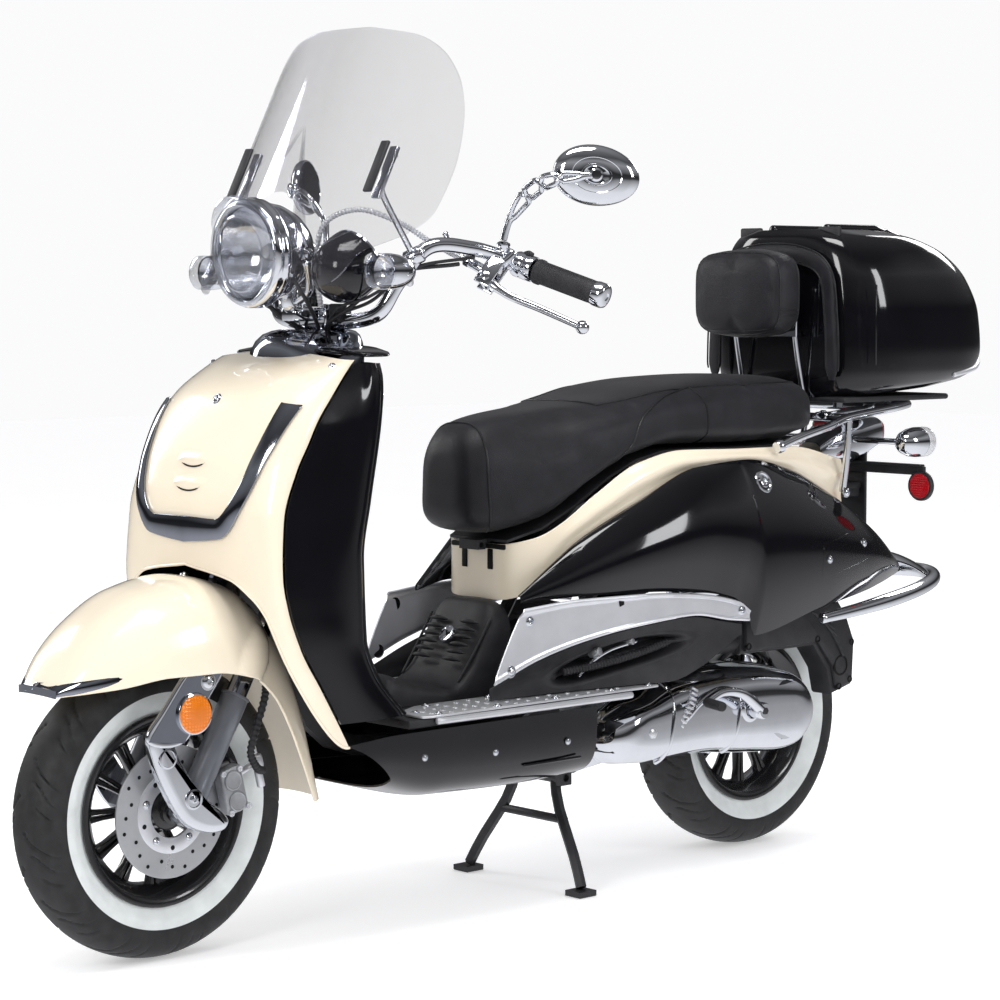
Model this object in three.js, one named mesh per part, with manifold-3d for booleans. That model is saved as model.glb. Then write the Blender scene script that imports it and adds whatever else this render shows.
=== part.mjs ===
// Retro 150 cc step-through motor scooter with windshield, top box and centre stand.
// Millimetres. +X is the rider's left, +Y the rear, +Z up. The model is laid out about the
// middle of the wheelbase and then moved so that its box is centred on X and Y.
import * as THREE from "three";
import { mergeVertices } from "three/addons/utils/BufferGeometryUtils.js";
import Module from "manifold-3d";

const wasm = await Module();
wasm.setup();

// ---------- driving dimensions ----------
const WHEELBASE = 1230;
const TYRE_RADIUS = 216;
const FRONT_TYRE_HALF = 47;
const REAR_TYRE_HALF = 52;
const FRONT_AXLE_Y = -WHEELBASE / 2;
const REAR_AXLE_Y = WHEELBASE / 2;
const RAKE = THREE.MathUtils.degToRad(25); // steering axis, back from vertical
const STEER_GROUND_Y = -700; // where the steering axis meets the ground
const LEG_RAKE = THREE.MathUtils.degToRad(29); // fork legs, back from vertical
const LEG_X = 76;
const LEG_BASE = [-606, TYRE_RADIUS]; // y, z of the leg's line level with the axle
const ENGINE_PIVOT = [95, 338]; // y, z
const STAND_PIVOT = [140, 176]; // y, z
const SEAT_HINGE = [4, 554]; // y, z
const KICK_PIVOT = [480, 262]; // y, z
const WIND_RAKE = 0.5; // windshield, back for each mm up
const SHOCK_TOP = [500, 566]; // y, z
const SHOCK_FOOT = [585, 300]; // y, z
const SHOCK_X = -82;
const CENTRE_Y = 137.5; // middle of the whole length

// ---------- materials ----------
const finish = (color, metalness, roughness, extra = {}) =>
  new THREE.MeshStandardMaterial({ color, metalness, roughness, ...extra });
const CREAM = finish(0xf1e3cb, 0.0, 0.25);
const BLACK_GLOSS = finish(0x0b0b0e, 0.0, 0.12);
const BLACK_MATTE = finish(0x1c1c1f, 0.0, 0.6);
const CHROME = finish(0xd8dade, 1.0, 0.08);
const SILVER = finish(0xb9bcc0, 0.9, 0.35);
const CAST = finish(0x9a9c9f, 0.8, 0.5);
const RUBBER = finish(0x18181a, 0.0, 0.85);
const LEATHER = finish(0x2b2b30, 0.0, 0.6);
const CLEAR = finish(0xe8ebf2, 0.0, 0.05, { transparent: true, opacity: 0.25 });
const RED = finish(0x9c1014, 0.0, 0.3);
const STEEL = finish(0x34363a, 0.6, 0.5);

// ---------- shape tools ----------
const V = (x, y, z) => new THREE.Vector3(x, y, z);
const rad = THREE.MathUtils.degToRad;
const lerp = THREE.MathUtils.lerp;

// Rows of [key, value, ...] read at any key along a smooth curve that keeps inside its rows.
function track(rows, key) {
  const n = rows.length;
  if (key <= rows[0][0]) return rows[0].slice(1);
  if (key >= rows[n - 1][0]) return rows[n - 1].slice(1);
  let i = 0;
  while (rows[i + 1][0] < key) i++;
  const [a, b] = [rows[i], rows[i + 1]];
  const h = b[0] - a[0];
  const t = (key - a[0]) / h;
  const slope = (k, c) => {
    if (k === 0 || k === n - 1) return undefined;
    const [p, q, r] = [rows[k - 1], rows[k], rows[k + 1]];
    const s1 = (q[c] - p[c]) / (q[0] - p[0]);
    const s2 = (r[c] - q[c]) / (r[0] - q[0]);
    return s1 * s2 <= 0 ? 0 : (2 * s1 * s2) / (s1 + s2);
  };
  return a.slice(1).map((_, j) => {
    const c = j + 1;
    const straight = (b[c] - a[c]) / h;
    const m0 = slope(i, c) ?? straight;
    const m1 = slope(i + 1, c) ?? straight;
    const t2 = t * t;
    const t3 = t2 * t;
    return (
      (2 * t3 - 3 * t2 + 1) * a[c] +
      (t3 - 2 * t2 + t) * h * m0 +
      (3 * t2 - 2 * t3) * b[c] +
      (t3 - t2) * h * m1
    );
  });
}

// |value| to a power, with its sign: the shape of a rounded box section.
const squarish = (value, n) => Math.sign(value) * Math.abs(value) ** (2 / n);

function indexed(points, faces) {
  const g = new THREE.BufferGeometry();
  const flat = points.flatMap((p) => [p.x, p.y, p.z]);
  g.setAttribute("position", new THREE.Float32BufferAttribute(flat, 3));
  g.setIndex(faces.flat());
  return g;
}

function signedVolume(points, faces) {
  let sum = 0;
  for (const [a, b, c] of faces) sum += points[a].dot(V(0, 0, 0).crossVectors(points[b], points[c]));
  return sum;
}

const facingOut = (points, faces) =>
  indexed(points, signedVolume(points, faces) < 0 ? faces.map(([a, b, c]) => [a, c, b]) : faces);

// A plate of even thickness under a surface(u, v), closed at its four edges.
function plate(surface, nu, nv, thickness) {
  const step = 1e-3;
  const outer = [];
  const inner = [];
  for (let j = 0; j <= nv; j++)
    for (let i = 0; i <= nu; i++) {
      const [u, v] = [i / nu, j / nv];
      const p = surface(u, v);
      const du = surface(Math.min(u + step, 1), v).sub(surface(Math.max(u - step, 0), v));
      const dv = surface(u, Math.min(v + step, 1)).sub(surface(u, Math.max(v - step, 0)));
      outer.push(p);
      inner.push(p.clone().addScaledVector(du.cross(dv).normalize(), -thickness));
    }
  const row = nu + 1;
  const count = outer.length;
  const faces = [];
  const quad = (a, b, c, d) => faces.push([a, b, c], [a, c, d]);
  for (let j = 0; j < nv; j++)
    for (let i = 0; i < nu; i++) {
      const a = j * row + i;
      quad(a, a + 1, a + row + 1, a + row);
      quad(count + a + row, count + a + row + 1, count + a + 1, count + a);
    }
  for (let i = 0; i < nu; i++) {
    const b = nv * row + i;
    quad(i + 1, i, count + i, count + i + 1);
    quad(b, b + 1, count + b + 1, count + b);
  }
  for (let j = 0; j < nv; j++) {
    const a = j * row;
    const b = a + nu;
    quad(a, a + row, count + a + row, count + a);
    quad(b + row, b, count + b, count + b + row);
  }
  return facingOut([...outer, ...inner], faces);
}

// A closed body through rings of points, with a fan at each end.
function loft(rings) {
  const n = rings[0].length;
  const points = rings.flat();
  const faces = [];
  for (let r = 0; r + 1 < rings.length; r++)
    for (let i = 0; i < n; i++) {
      const [a, b] = [r * n + i, r * n + ((i + 1) % n)];
      faces.push([a, b, b + n], [a, b + n, a + n]);
    }
  const centreOf = (ring) => ring.reduce((s, p) => s.add(p), V(0, 0, 0)).divideScalar(n);
  const [first, last] = [points.length, points.length + 1];
  points.push(centreOf(rings[0]), centreOf(rings[rings.length - 1]));
  const start = (rings.length - 1) * n;
  for (let i = 0; i < n; i++) {
    faces.push([first, (i + 1) % n, i]);
    faces.push([last, start + i, start + ((i + 1) % n)]);
  }
  return facingOut(points, faces);
}

const circle = (radius) => {
  const s = new THREE.Shape();
  s.absarc(0, 0, radius, 0, Math.PI * 2, false);
  return s;
};

function tube(points, radius, steps, corner = 4) {
  const path = new THREE.CatmullRomCurve3(points.map((p) => V(...p)), false, "centripetal");
  return new THREE.ExtrudeGeometry(circle(radius), { steps, curveSegments: corner, extrudePath: path });
}

function rod(from, to, radius, segments = 12) {
  const [a, b] = [V(...from), V(...to)];
  const g = new THREE.CylinderGeometry(radius, radius, a.distanceTo(b), segments);
  g.applyQuaternion(new THREE.Quaternion().setFromUnitVectors(V(0, 1, 0), b.clone().sub(a).normalize()));
  return g.translate(...a.add(b).multiplyScalar(0.5).toArray());
}

const block = (x0, x1, y0, y1, z0, z1) =>
  new THREE.BoxGeometry(x1 - x0, y1 - y0, z1 - z0).translate((x0 + x1) / 2, (y0 + y1) / 2, (z0 + z1) / 2);

// An outline in Y and Z, as thick as from x0 to x1.
function profile(outline, x0, x1) {
  const s = new THREE.Shape(outline.map(([y, z]) => new THREE.Vector2(y, z)));
  const g = new THREE.ExtrudeGeometry(s, { depth: x1 - x0, bevelEnabled: false });
  return g.rotateY(Math.PI / 2).rotateX(Math.PI / 2).translate(x0, 0, 0);
}

// A closed profile of [radius, along] turned about the X axis at y, z.
function turned(points, y, z, segments) {
  const area = points.reduce((sum, [r, a], i) => {
    const [r2, a2] = points[(i + 1) % points.length];
    return sum + r * a2 - r2 * a;
  }, 0);
  const path = area > 0 ? points : [...points].reverse();
  const g = new THREE.LatheGeometry(path.map(([r, a]) => new THREE.Vector2(r, a)), segments);
  return g.rotateZ(-Math.PI / 2).translate(0, y, z);
}

function solid(g) {
  const bare = g.clone();
  for (const name of Object.keys(bare.attributes)) if (name !== "position") bare.deleteAttribute(name);
  const m = mergeVertices(bare, 1e-3);
  return new wasm.Manifold(
    new wasm.Mesh({
      numProp: 3,
      vertProperties: new Float32Array(m.attributes.position.array),
      triVerts: new Uint32Array(m.index.array),
    }),
  );
}

function geometryOf(manifold) {
  const m = manifold.getMesh();
  const g = new THREE.BufferGeometry();
  g.setAttribute("position", new THREE.BufferAttribute(new Float32Array(m.vertProperties), 3));
  return g.setIndex(new THREE.BufferAttribute(new Uint32Array(m.triVerts), 1));
}

const joined = (...list) => geometryOf(list.map(solid).reduce((a, b) => a.add(b)));
const cut = (g, ...tools) => geometryOf(tools.map(solid).reduce((a, b) => a.subtract(b), solid(g)));
const mirrored = (g) => {
  const bare = g.toNonIndexed();
  bare.deleteAttribute("normal");
  bare.deleteAttribute("uv");
  bare.applyMatrix4(new THREE.Matrix4().makeScale(-1, 1, 1));
  const p = bare.attributes.position;
  for (let i = 0; i < p.count; i += 3) {
    const [b, c] = [V(0, 0, 0).fromBufferAttribute(p, i + 1), V(0, 0, 0).fromBufferAttribute(p, i + 2)];
    p.setXYZ(i + 1, ...c.toArray());
    p.setXYZ(i + 2, ...b.toArray());
  }
  return bare;
};

const flipped = (list) => list.map(mirrored);

// ---------- the scene graph ----------
const scooter = new THREE.Group();
scooter.position.set(0, -CENTRE_Y, 0);
const add = (name, geometry, material) => {
  const g = geometry.index ? geometry.toNonIndexed() : geometry;
  for (const key of Object.keys(g.attributes)) if (key !== "position") g.deleteAttribute(key);
  g.computeVertexNormals();
  const mesh = new THREE.Mesh(g, material);
  mesh.name = name;
  scooter.add(mesh);
};
const pair = (name, geometry, material) => {
  add(name + "_left", geometry, material);
  add(name + "_right", mirrored(geometry), material);
};

// Points on the steering axis and on a fork leg.
const steerPoint = (z, x = 0) => [x, STEER_GROUND_Y + z * Math.tan(RAKE), z];
const legPoint = (s, x = LEG_X) => [
  x,
  LEG_BASE[0] + s * Math.sin(LEG_RAKE),
  LEG_BASE[1] + s * Math.cos(LEG_RAKE),
];

// ---------- wheels ----------
const BEAD_RADIUS = 128.5;
const RIM_TOP = 139;

function tyre(half, y) {
  const wall = 8;
  const outside = [
    [BEAD_RADIUS, 29], [141, 32.5], [152, 41], [180, half], [204, half * 0.84], [TYRE_RADIUS, 0],
  ];
  const inside = [
    [TYRE_RADIUS - wall, 0], [196, half * 0.76], [178, half - wall], [150, 33], [BEAD_RADIUS, 23],
  ];
  const flip = (list) => list.map(([r, a]) => [r, -a]).reverse();
  const ring = [...outside, ...flip(outside).slice(1), ...flip(inside), ...inside.slice(1), outside[0]];
  return turned(ring, y, TYRE_RADIUS, 28);
}

function rim(y, hubLeft, hubRight, boreRadius) {
  const barrel = [
    [RIM_TOP, -38], [RIM_TOP, -34.5], [127, -30.5], [116, -14], [116, 14], [127, 30.5],
    [RIM_TOP, 34.5], [RIM_TOP, 38], [130, 38], [109, 14], [109, -14], [130, -38], [RIM_TOP, -38],
  ];
  const hub = [
    [boreRadius, -hubRight], [30, -hubRight], [34, -14], [34, 14], [30, hubLeft], [boreRadius, hubLeft],
    [boreRadius, -hubRight],
  ];
  const parts = [turned(barrel, y, TYRE_RADIUS, 24), turned(hub, y, TYRE_RADIUS, 14)];
  const spokes = 12;
  for (let i = 0; i < spokes; i++) {
    const spoke = block(-2, 12, -4.5, 4.5, 28, 113);
    parts.push(spoke.rotateX((i * 2 * Math.PI) / spokes).translate(0, y, TYRE_RADIUS));
  }
  return joined(...parts);
}

add("front_tyre", tyre(FRONT_TYRE_HALF, FRONT_AXLE_Y), RUBBER);
add("front_rim", rim(FRONT_AXLE_Y, 49.4, 40, 9.8), BLACK_GLOSS);
add("rear_tyre", tyre(REAR_TYRE_HALF, REAR_AXLE_Y), RUBBER);
add("rear_rim", rim(REAR_AXLE_Y, 44, 44, 11.8), BLACK_GLOSS);

const DISC = { inner: 36, outer: 95, x0: 50, x1: 54 };
add(
  "brake_disc",
  turned(
    [
      [DISC.inner, DISC.x0], [DISC.inner, DISC.x1], [DISC.outer, DISC.x1], [DISC.outer, DISC.x0],
      [DISC.inner, DISC.x0],
    ],
    FRONT_AXLE_Y,
    TYRE_RADIUS,
    28,
  ),
  SILVER,
);

// ---------- front suspension ----------
function forkLower() {
  const slider = (x) =>
    cut(rod(legPoint(-18, x), legPoint(182, x), 20, 14), rod(legPoint(22, x), legPoint(200, x), 17, 14));
  const arm = [
    [-680, 330], [-652, 335], [-625, 290], [-590, 240], [-548, 210], [-552, 190], [-580, 186], [-620, 205],
    [-650, 245], [-674, 295],
  ];
  return joined(
    slider(LEG_X),
    slider(-LEG_X),
    rod([-LEG_X, FRONT_AXLE_Y, TYRE_RADIUS], [LEG_X, FRONT_AXLE_Y, TYRE_RADIUS], 8.5, 16),
    profile(arm, 84, 103),
    profile(arm, -103, -84),
  );
}
add("fork_lower", forkLower(), STEEL);

function caliper() {
  const body = joined(
    block(37.5, 46.5, 74, 120, -34, 34),
    block(58, 84, 74, 116, -36, 36),
    block(44, 62, 100, 122, -30, 30),
  );
  return body.rotateX(rad(14)).translate(0, FRONT_AXLE_Y, TYRE_RADIUS);
}
add("brake_caliper", caliper(), CAST);

// ---------- steering ----------
function steeringStem() {
  const stanchion = (x) => rod(legPoint(95, x), legPoint(392, x), 15.5, 14);
  const cover = [[-606, 450], [-552, 450], [-560, 425], [-632, 322], [-692, 330], [-618, 425]];
  const rib = [
    block(70, 88, -520, -476, 438, 450),
    block(70, 100, -560, -515, 438, 450),
    block(94, 109, -594, -556, 438, 450),
  ];
  return joined(
    rod(steerPoint(545), steerPoint(887), 13, 14),
    block(-94, 94, -462, -404, 538, 560),
    stanchion(LEG_X),
    stanchion(-LEG_X),
    profile(cover, 104.5, 109),
    profile(cover, -109, -104.5),
    ...rib,
    ...flipped(rib),
  );
}
add("steering_stem", steeringStem(), CHROME);

// Front mudguard: crest line and side edge from front tip to the skirt behind the wheel.
const FENDER = [
  // v, crest y, crest z, edge y, edge z, half width
  [0.0, -803, 400, -800, 396, 40],
  [0.1, -763, 456, -766, 402, 72],
  [0.22, -713, 498, -722, 408, 96],
  [0.36, -650, 531, -655, 418, 113],
  [0.5, -580, 544, -583, 418, 118],
  [0.62, -520, 532, -520, 406, 116],
  [0.72, -465, 495, -474, 376, 104],
  [0.82, -415, 420, -428, 320, 86],
  [0.91, -378, 330, -396, 268, 72],
  [1.0, -346, 205, -360, 200, 58],
];
function fenderSurface(u, v) {
  const [cy, cz, ey, ez, half] = track(FENDER, v);
  const angle = Math.PI * u;
  const k = squarish(Math.sin(angle), 2.5);
  return V(half * squarish(Math.cos(angle), 2.5), lerp(ey, cy, k), lerp(ez, cz, k));
}
add(
  "front_fender",
  cut(
    plate(fenderSurface, 10, 11, 3),
    rod(legPoint(150), legPoint(400), 22, 12),
    rod(legPoint(150, -LEG_X), legPoint(400, -LEG_X), 22, 12),
  ),
  CREAM,
);

// Handlebar: one bent tube with its clamp on the stem.
const GRIP_IN = V(232, -88, 983.5);
const GRIP_OUT = V(346, -52, 944);
const GRIP_DIR = GRIP_OUT.clone().sub(GRIP_IN).normalize();
const gripPoint = (s) => GRIP_IN.clone().addScaledVector(GRIP_DIR, s).toArray();
const GRIP_LENGTH = GRIP_OUT.distanceTo(GRIP_IN);
const BAR_HALF = [
  [0, -292, 903], [62, -298, 905], [118, -284, 918], [138, -264, 962], [158, -222, 1014], [181, -160, 1013],
  [198, -112, 1000], gripPoint(-18), gripPoint(0), gripPoint(60), gripPoint(GRIP_LENGTH),
];
const barPath = [...BAR_HALF.slice(1).reverse().map(([x, y, z]) => [-x, y, z]), ...BAR_HALF];

// Brake levers turn on a pin whose axis is square to the blade and to the pull.
const LEVER_PIVOT = V(196, -142, 966);
const LEVER_TIP = V(340, -86, 898);
const LEVER_ALONG = LEVER_TIP.clone().sub(LEVER_PIVOT).normalize();
const LEVER_AXIS = LEVER_ALONG.clone().cross(GRIP_OUT.clone().sub(LEVER_TIP)).normalize();
const LEVER_PULL = LEVER_AXIS.clone().cross(LEVER_ALONG);
const atLever = (g) =>
  g.applyMatrix4(new THREE.Matrix4().makeBasis(LEVER_ALONG, LEVER_PULL, LEVER_AXIS).setPosition(LEVER_PIVOT));

function perch() {
  return [
    atLever(block(-13, 13, -13, 34, 9, 14)),
    atLever(block(-13, 13, -13, 34, -14, -9)),
    atLever(block(-13, 13, 15, 34, -14, 14)),
    atLever(rod([0, 0, -14], [0, 0, 14], 4.6, 8)),
    rod(gripPoint(-26), gripPoint(8), 18.5, 10),
    rod([200, -108, 1000], [207, -119, 1020], 8, 8),
    atLever(rod([0, 28, 0], [10, 56, 0], 10, 8)),
  ];
}

// Windshield stay: a thin rod from the bar up to a clamp behind the sheet.
const stay = () => [
  rod([150, -244, 1000], [160, -318, 1092], 5, 6),
  block(-9, 9, 0, 8, -42, 42).rotateX(-Math.atan(WIND_RAKE)).translate(161, -305.2, 1126.6),
];

const BUTTON_AXIS = V(0, 1, 0).addScaledVector(GRIP_DIR, -GRIP_DIR.y).normalize();
const buttonPoint = (s) => V(...gripPoint(-12)).addScaledVector(BUTTON_AXIS, s).toArray();
function handlebar() {
  const bar = joined(
    tube(barPath, 11, 30, 3),
    block(-34, 34, -318, -262, 895, 926),
    ...perch(),
    ...flipped(perch()),
    ...stay(),
    ...flipped(stay()),
  );
  return cut(bar, mirrored(rod(buttonPoint(12), buttonPoint(30), 5.8, 12)));
}
add("handlebar", handlebar(), CHROME);
add("starter_button", mirrored(rod(buttonPoint(15), buttonPoint(22), 5, 12)), RED);

function grip() {
  return cut(
    rod(gripPoint(12), gripPoint(GRIP_LENGTH + 8), 17, 14),
    rod(gripPoint(2), gripPoint(GRIP_LENGTH + 2), 13, 14),
  );
}
add("grip_left", grip(), RUBBER);
add("throttle_grip", mirrored(grip()), RUBBER);

function lever() {
  const reach = LEVER_TIP.distanceTo(LEVER_PIVOT);
  return cut(
    joined(
      atLever(rod([0, 0, -8], [0, 0, 8], 11, 12)),
      atLever(tube([[4, 0, 0], [40, -6, 0], [95, -3, 0], [reach, 0, 0]], 6, 8, 3)),
      atLever(new THREE.SphereGeometry(10, 8, 6).translate(reach, 0, 0)),
    ),
    atLever(rod([0, 0, -12], [0, 0, 12], 5.4, 12)),
  );
}
pair("brake_lever", lever(), CHROME);

// Mirrors: a short stem, an arm that bows outwards and an oval head turned out and forwards.
const MIRROR_HEAD = [338, -60, 1118];
const MIRROR_TURN = rad(55);
function mirror() {
  const head = new THREE.SphereGeometry(1, 14, 8).scale(66, 14, 45).rotateY(rad(8)).rotateZ(MIRROR_TURN);
  const arm = [[216, -114, 1054], [236, -112, 1078], [266, -115, 1098], [306, -114, 1111], [344, -76, 1117]];
  return joined(
    rod([208, -120, 1026], [216, -114, 1058], 5.5, 8),
    tube(arm, 7, 7, 3),
    head.translate(...MIRROR_HEAD),
  );
}
pair("mirror", mirror(), CHROME);

// Headlamp: a bowl behind a bezel, on a stalk down to the bar clamp.
function headlamp() {
  const bowl = new THREE.LatheGeometry(
    [[0, -62], [30, -56], [56, -36], [70, -8], [74, 20], [80, 30], [80, 46], [66, 50], [0, 44]].map(
      ([r, a]) => new THREE.Vector2(r, a),
    ),
    24,
  );
  bowl.rotateX(Math.PI).rotateX(rad(4)).translate(0, -392, 1008);
  return joined(
    bowl,
    tube([[0, -356, 960], [0, -358, 935], [0, -348, 922]], 12, 4, 3),
    block(-15, 15, -362, -319, 906, 926),
  );
}
add("headlamp", headlamp(), CHROME);

// Instrument pods: two black cups either side of the lamp on a shared bridge.
function pods() {
  const cup = (x) => {
    const rows = [[0, -46], [26, -42], [42, -24], [48, 0], [49, 26], [45, 32], [0, 30]];
    const g = new THREE.LatheGeometry(rows.map(([r, a]) => new THREE.Vector2(r, a)), 18);
    return g.rotateX(rad(58)).translate(x, -338, 982);
  };
  return joined(
    cup(106),
    cup(-106),
    rod([-98, -312, 962], [98, -312, 962], 7, 8),
    block(-10, 10, -318, -306, 927, 966),
  );
}
add("instrument_pods", pods(), BLACK_MATTE);

function turnSignal(angle) {
  const rows = [[0, -40], [12, -38], [22, -22], [26, 0], [26, 26], [20, 31], [0, 32]];
  return new THREE.LatheGeometry(rows.map(([r, a]) => new THREE.Vector2(r, a)), 16).rotateX(angle);
}
const frontSignal = joined(
  turnSignal(Math.PI).translate(209, -340, 978),
  rod([206, -318, 978], [162, -262, 962], 5, 8),
);
pair("front_signal", frontSignal, CHROME);

// Windshield: one curved sheet raked like the steering, open round the headlamp.
const WIND = [
  // z, half width
  [944, 104], [953, 138], [970, 160], [990, 169], [1004, 173], [1016, 196], [1032, 226], [1060, 247],
  [1120, 251], [1180, 244], [1240, 226], [1290, 193], [1322, 145], [1338, 62],
];
const WIND_SAG = 82; // depth of the curve over 220 mm of half width
function windSurface(u, v) {
  const z = lerp(WIND[0][0], WIND[WIND.length - 1][0], v);
  const x = (2 * u - 1) * track(WIND, z)[0];
  return V(x, -425 + WIND_RAKE * (z - 1000) + WIND_SAG * (x / 220) ** 2, z);
}
add(
  "windshield",
  cut(
    plate(windSurface, 10, 12, 3.5),
    rod([0, -520, 1008], [0, -300, 1008], 88, 20),
    block(-88, 88, -520, -300, 900, 1008),
  ),
  CLEAR,
);

// ---------- front bodywork ----------
const SHIELD = [
  // z, nose y, edge x, edge y
  [300, -500, 190, -402], [327, -510, 190, -417], [388, -530, 190, -453], [448, -540, 190, -489],
  [503, -546, 187, -508], [548, -549, 184, -515], [632, -549, 178, -508], [700, -535, 175, -482],
  [734, -523, 174, -462], [769, -506, 172, -441], [801, -485, 166, -412], [840, -425, 155, -372],
  [862, -372, 148, -345],
];
const ARCH = [
  // share of the half width, lowest z
  [0, 560], [0.55, 545], [0.78, 520], [0.88, 495], [0.93, 448], [0.96, 395], [0.985, 335], [1, 300],
];
function shieldSurface(u, v) {
  const angle = Math.PI * u;
  const across = squarish(Math.cos(angle), 2.6);
  const depth = squarish(Math.sin(angle), 2.6);
  const z = lerp(862 - 10 * across ** 2, track(ARCH, Math.abs(across))[0], v);
  const [nose, x, y] = track(SHIELD, z);
  return V(x * across, lerp(y, nose, depth), z);
}
add("front_shield", plate(shieldSurface, 16, 10, 3), CREAM);

// Leg shield: side wall from the shield's edge to its lip, then the face towards the rider.
const LEG_SHIELD = [
  // z, lip x, lip y, middle y
  [336, 190, -292, -246], [400, 188, -345, -304], [452, 187, -364, -330], [568, 185, -367, -337],
  [652, 181, -350, -322], [764, 175, -325, -290], [826, 166, -315, -268], [846, 158, -314, -262],
];
function legShieldSection(z) {
  const [lipX, lipY, middleY] = track(LEG_SHIELD, z);
  const [, x, y] = track(SHIELD, z);
  const half = [
    [x + 0.5, y + 3], [x + 4, lerp(y, lipY, 0.5)], [lipX + 1, lipY - 24], [lipX - 7, lipY],
    [lipX - 40, lerp(lipY, middleY, 0.3)], [lipX - 96, lerp(lipY, middleY, 0.85)],
  ];
  const points = [...half, [0, middleY], ...half.slice().reverse().map(([a, b]) => [-a, b])];
  return new THREE.CatmullRomCurve3(points.map(([a, b]) => V(a, b, z)), false, "centripetal");
}
const legShieldSurface = (u, v) => legShieldSection(lerp(846, 336, v)).getPoint(u);
add("leg_shield", plate(legShieldSurface, 16, 8, 3), BLACK_GLOSS);

// Chrome collar over the shield's top, open in the middle for the stem.
function collar() {
  const ring = (z, half, front, back, tilt) => {
    const n = 20;
    return [...Array(n).keys()].map((i) => {
      const a = (i / n) * 2 * Math.PI;
      const across = squarish(Math.cos(a), 3);
      const along = squarish(Math.sin(a), 3);
      return V(half * across, lerp(back, front, (along + 1) / 2), z + tilt * across ** 2);
    });
  };
  const body = loft([
    ring(864, 150, -374, -258, -8),
    ring(870, 148, -371, -256, -8),
    ring(881, 98, -346, -258, -2),
  ]);
  return cut(body, rod(steerPoint(840), steerPoint(920), 24, 14));
}
add("shield_collar", collar(), CHROME);

// U-shaped chrome garnish standing on the shield's face: share along one arm, height, share of
// the half width.
const GARNISH = [[0, 611, 0], [0.35, 615, 0.44], [0.6, 664, 0.68], [0.8, 724, 0.78], [1, 793, 0.86]];
function garnishSurface(u, v) {
  const s = 2 * u - 1;
  const [z, across] = track(GARNISH, Math.abs(s));
  const width = lerp(19, 4, s * s);
  const zz = z + (v - 0.5) * 2 * width * (1 - 0.45 * Math.abs(s));
  const xx = across + (v - 0.5) * -0.16 * Math.abs(s);
  const [nose, x, y] = track(SHIELD, zz);
  const depth = (1 - Math.abs(xx) ** 2.6) ** (1 / 2.6);
  return V((x + 4 * xx) * xx * Math.sign(s), lerp(y, nose, depth) - 6.5, zz);
}
add("shield_garnish", plate(garnishSurface, 22, 2, 3), CHROME);

// ---------- floor ----------
function floorboard() {
  const tunnel = [
    [-232, 318], [-232, 372], [-154, 350], [-94, 345], [-62, 372], [-30, 430], [-8, 466], [18, 466],
    [18, 318],
  ];
  return joined(
    block(-186, 186, -286, 18, 312, 325),
    profile(tunnel, -75, 75),
    block(100, 186, 10, 168, 312, 325),
    block(-186, -100, 10, 168, 312, 325),
  );
}
add("floorboard", floorboard(), BLACK_MATTE);

const FOOTPLATE = [
  [98, -200], [150, -262], [186, -262], [192, -200], [192, 228], [172, 228], [140, 170], [98, 120],
];
function footplate() {
  const s = new THREE.Shape(FOOTPLATE.map(([x, y]) => new THREE.Vector2(x, y)));
  const g = new THREE.ExtrudeGeometry(s, { depth: 4, bevelEnabled: false }).translate(0, 0, 326);
  return joined(g, block(187.5, 192, -200, 168, 312, 328));
}
pair("footplate", footplate(), SILVER);

const BELLY = [
  // y, half width, top z, bottom z
  [-405, 186, 300, 250], [-318, 190, 308, 222], [-213, 192, 309, 196], [0, 190, 309, 190],
  [100, 185, 309, 193],
];
function bellySurface(u, v) {
  const angle = Math.PI * u;
  const across = squarish(Math.cos(angle), 4.5);
  const down = squarish(Math.sin(angle), 4.5);
  const front = lerp(-400, -312, Math.min(1, down * 1.3));
  const y = lerp(front, 98, v);
  const [half, top, bottom] = track(BELLY, y);
  return V(half * across, y, lerp(top, bottom, down));
}
add("lower_fairing", plate(bellySurface, 16, 6, 3), BLACK_GLOSS);

// Side duct between the silver trim and the footplate, with its lens-shaped opening.
const DUCT_TOP = [[-92, 350], [0, 384], [92, 407], [200, 424], [300, 432], [380, 418], [412, 412]];
const DUCT_FOOT = [[-92, 331], [60, 331], [200, 331], [260, 331], [330, 352], [380, 380], [412, 396]];
const DUCT_X = [[-92, 146], [0, 152], [92, 160], [202, 176], [300, 188], [412, 196]];
function ductSurface(u, v) {
  const y = lerp(-92, 412, u);
  const [top] = track(DUCT_TOP, y);
  const [bottom] = track(DUCT_FOOT, y);
  const [x] = track(DUCT_X, y);
  return V(x - lerp(26, 8, u) * Math.sin(Math.PI * v) * Math.sin(Math.PI * u), y, lerp(top, bottom, v));
}
pair("side_duct", plate(ductSurface, 10, 3, 3), BLACK_MATTE);

// ---------- centre and rear bodywork ----------
const COVER_TOP = [
  [18, 554], [60, 568], [90, 586], [147, 630], [226, 677], [317, 694], [445, 691], [607, 688], [760, 660],
];
const COVER_FOOT = [
  [18, 469], [60, 490], [103, 540], [213, 598], [332, 645], [454, 652], [581, 630], [701, 588], [760, 568],
];
const COVER_PLAN = [
  [108, 760], [128, 640], [148, 480], [156, 330], [146, 200], [116, 90], [90, 42], [64, 21], [0, 19],
];
function coverSurface(u, v) {
  const s = 2 * u - 1;
  const path = new THREE.CatmullRomCurve3(COVER_PLAN.map(([x, y]) => V(x, y, 0)), false, "centripetal");
  const p = path.getPoint(1 - Math.abs(s));
  const [top] = track(COVER_TOP, p.y);
  const [foot] = track(COVER_FOOT, p.y);
  return V(p.x * Math.sign(s || 1), p.y, lerp(top, foot, v));
}
add("centre_cover", plate(coverSurface, 24, 2, 3), CREAM);

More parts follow.
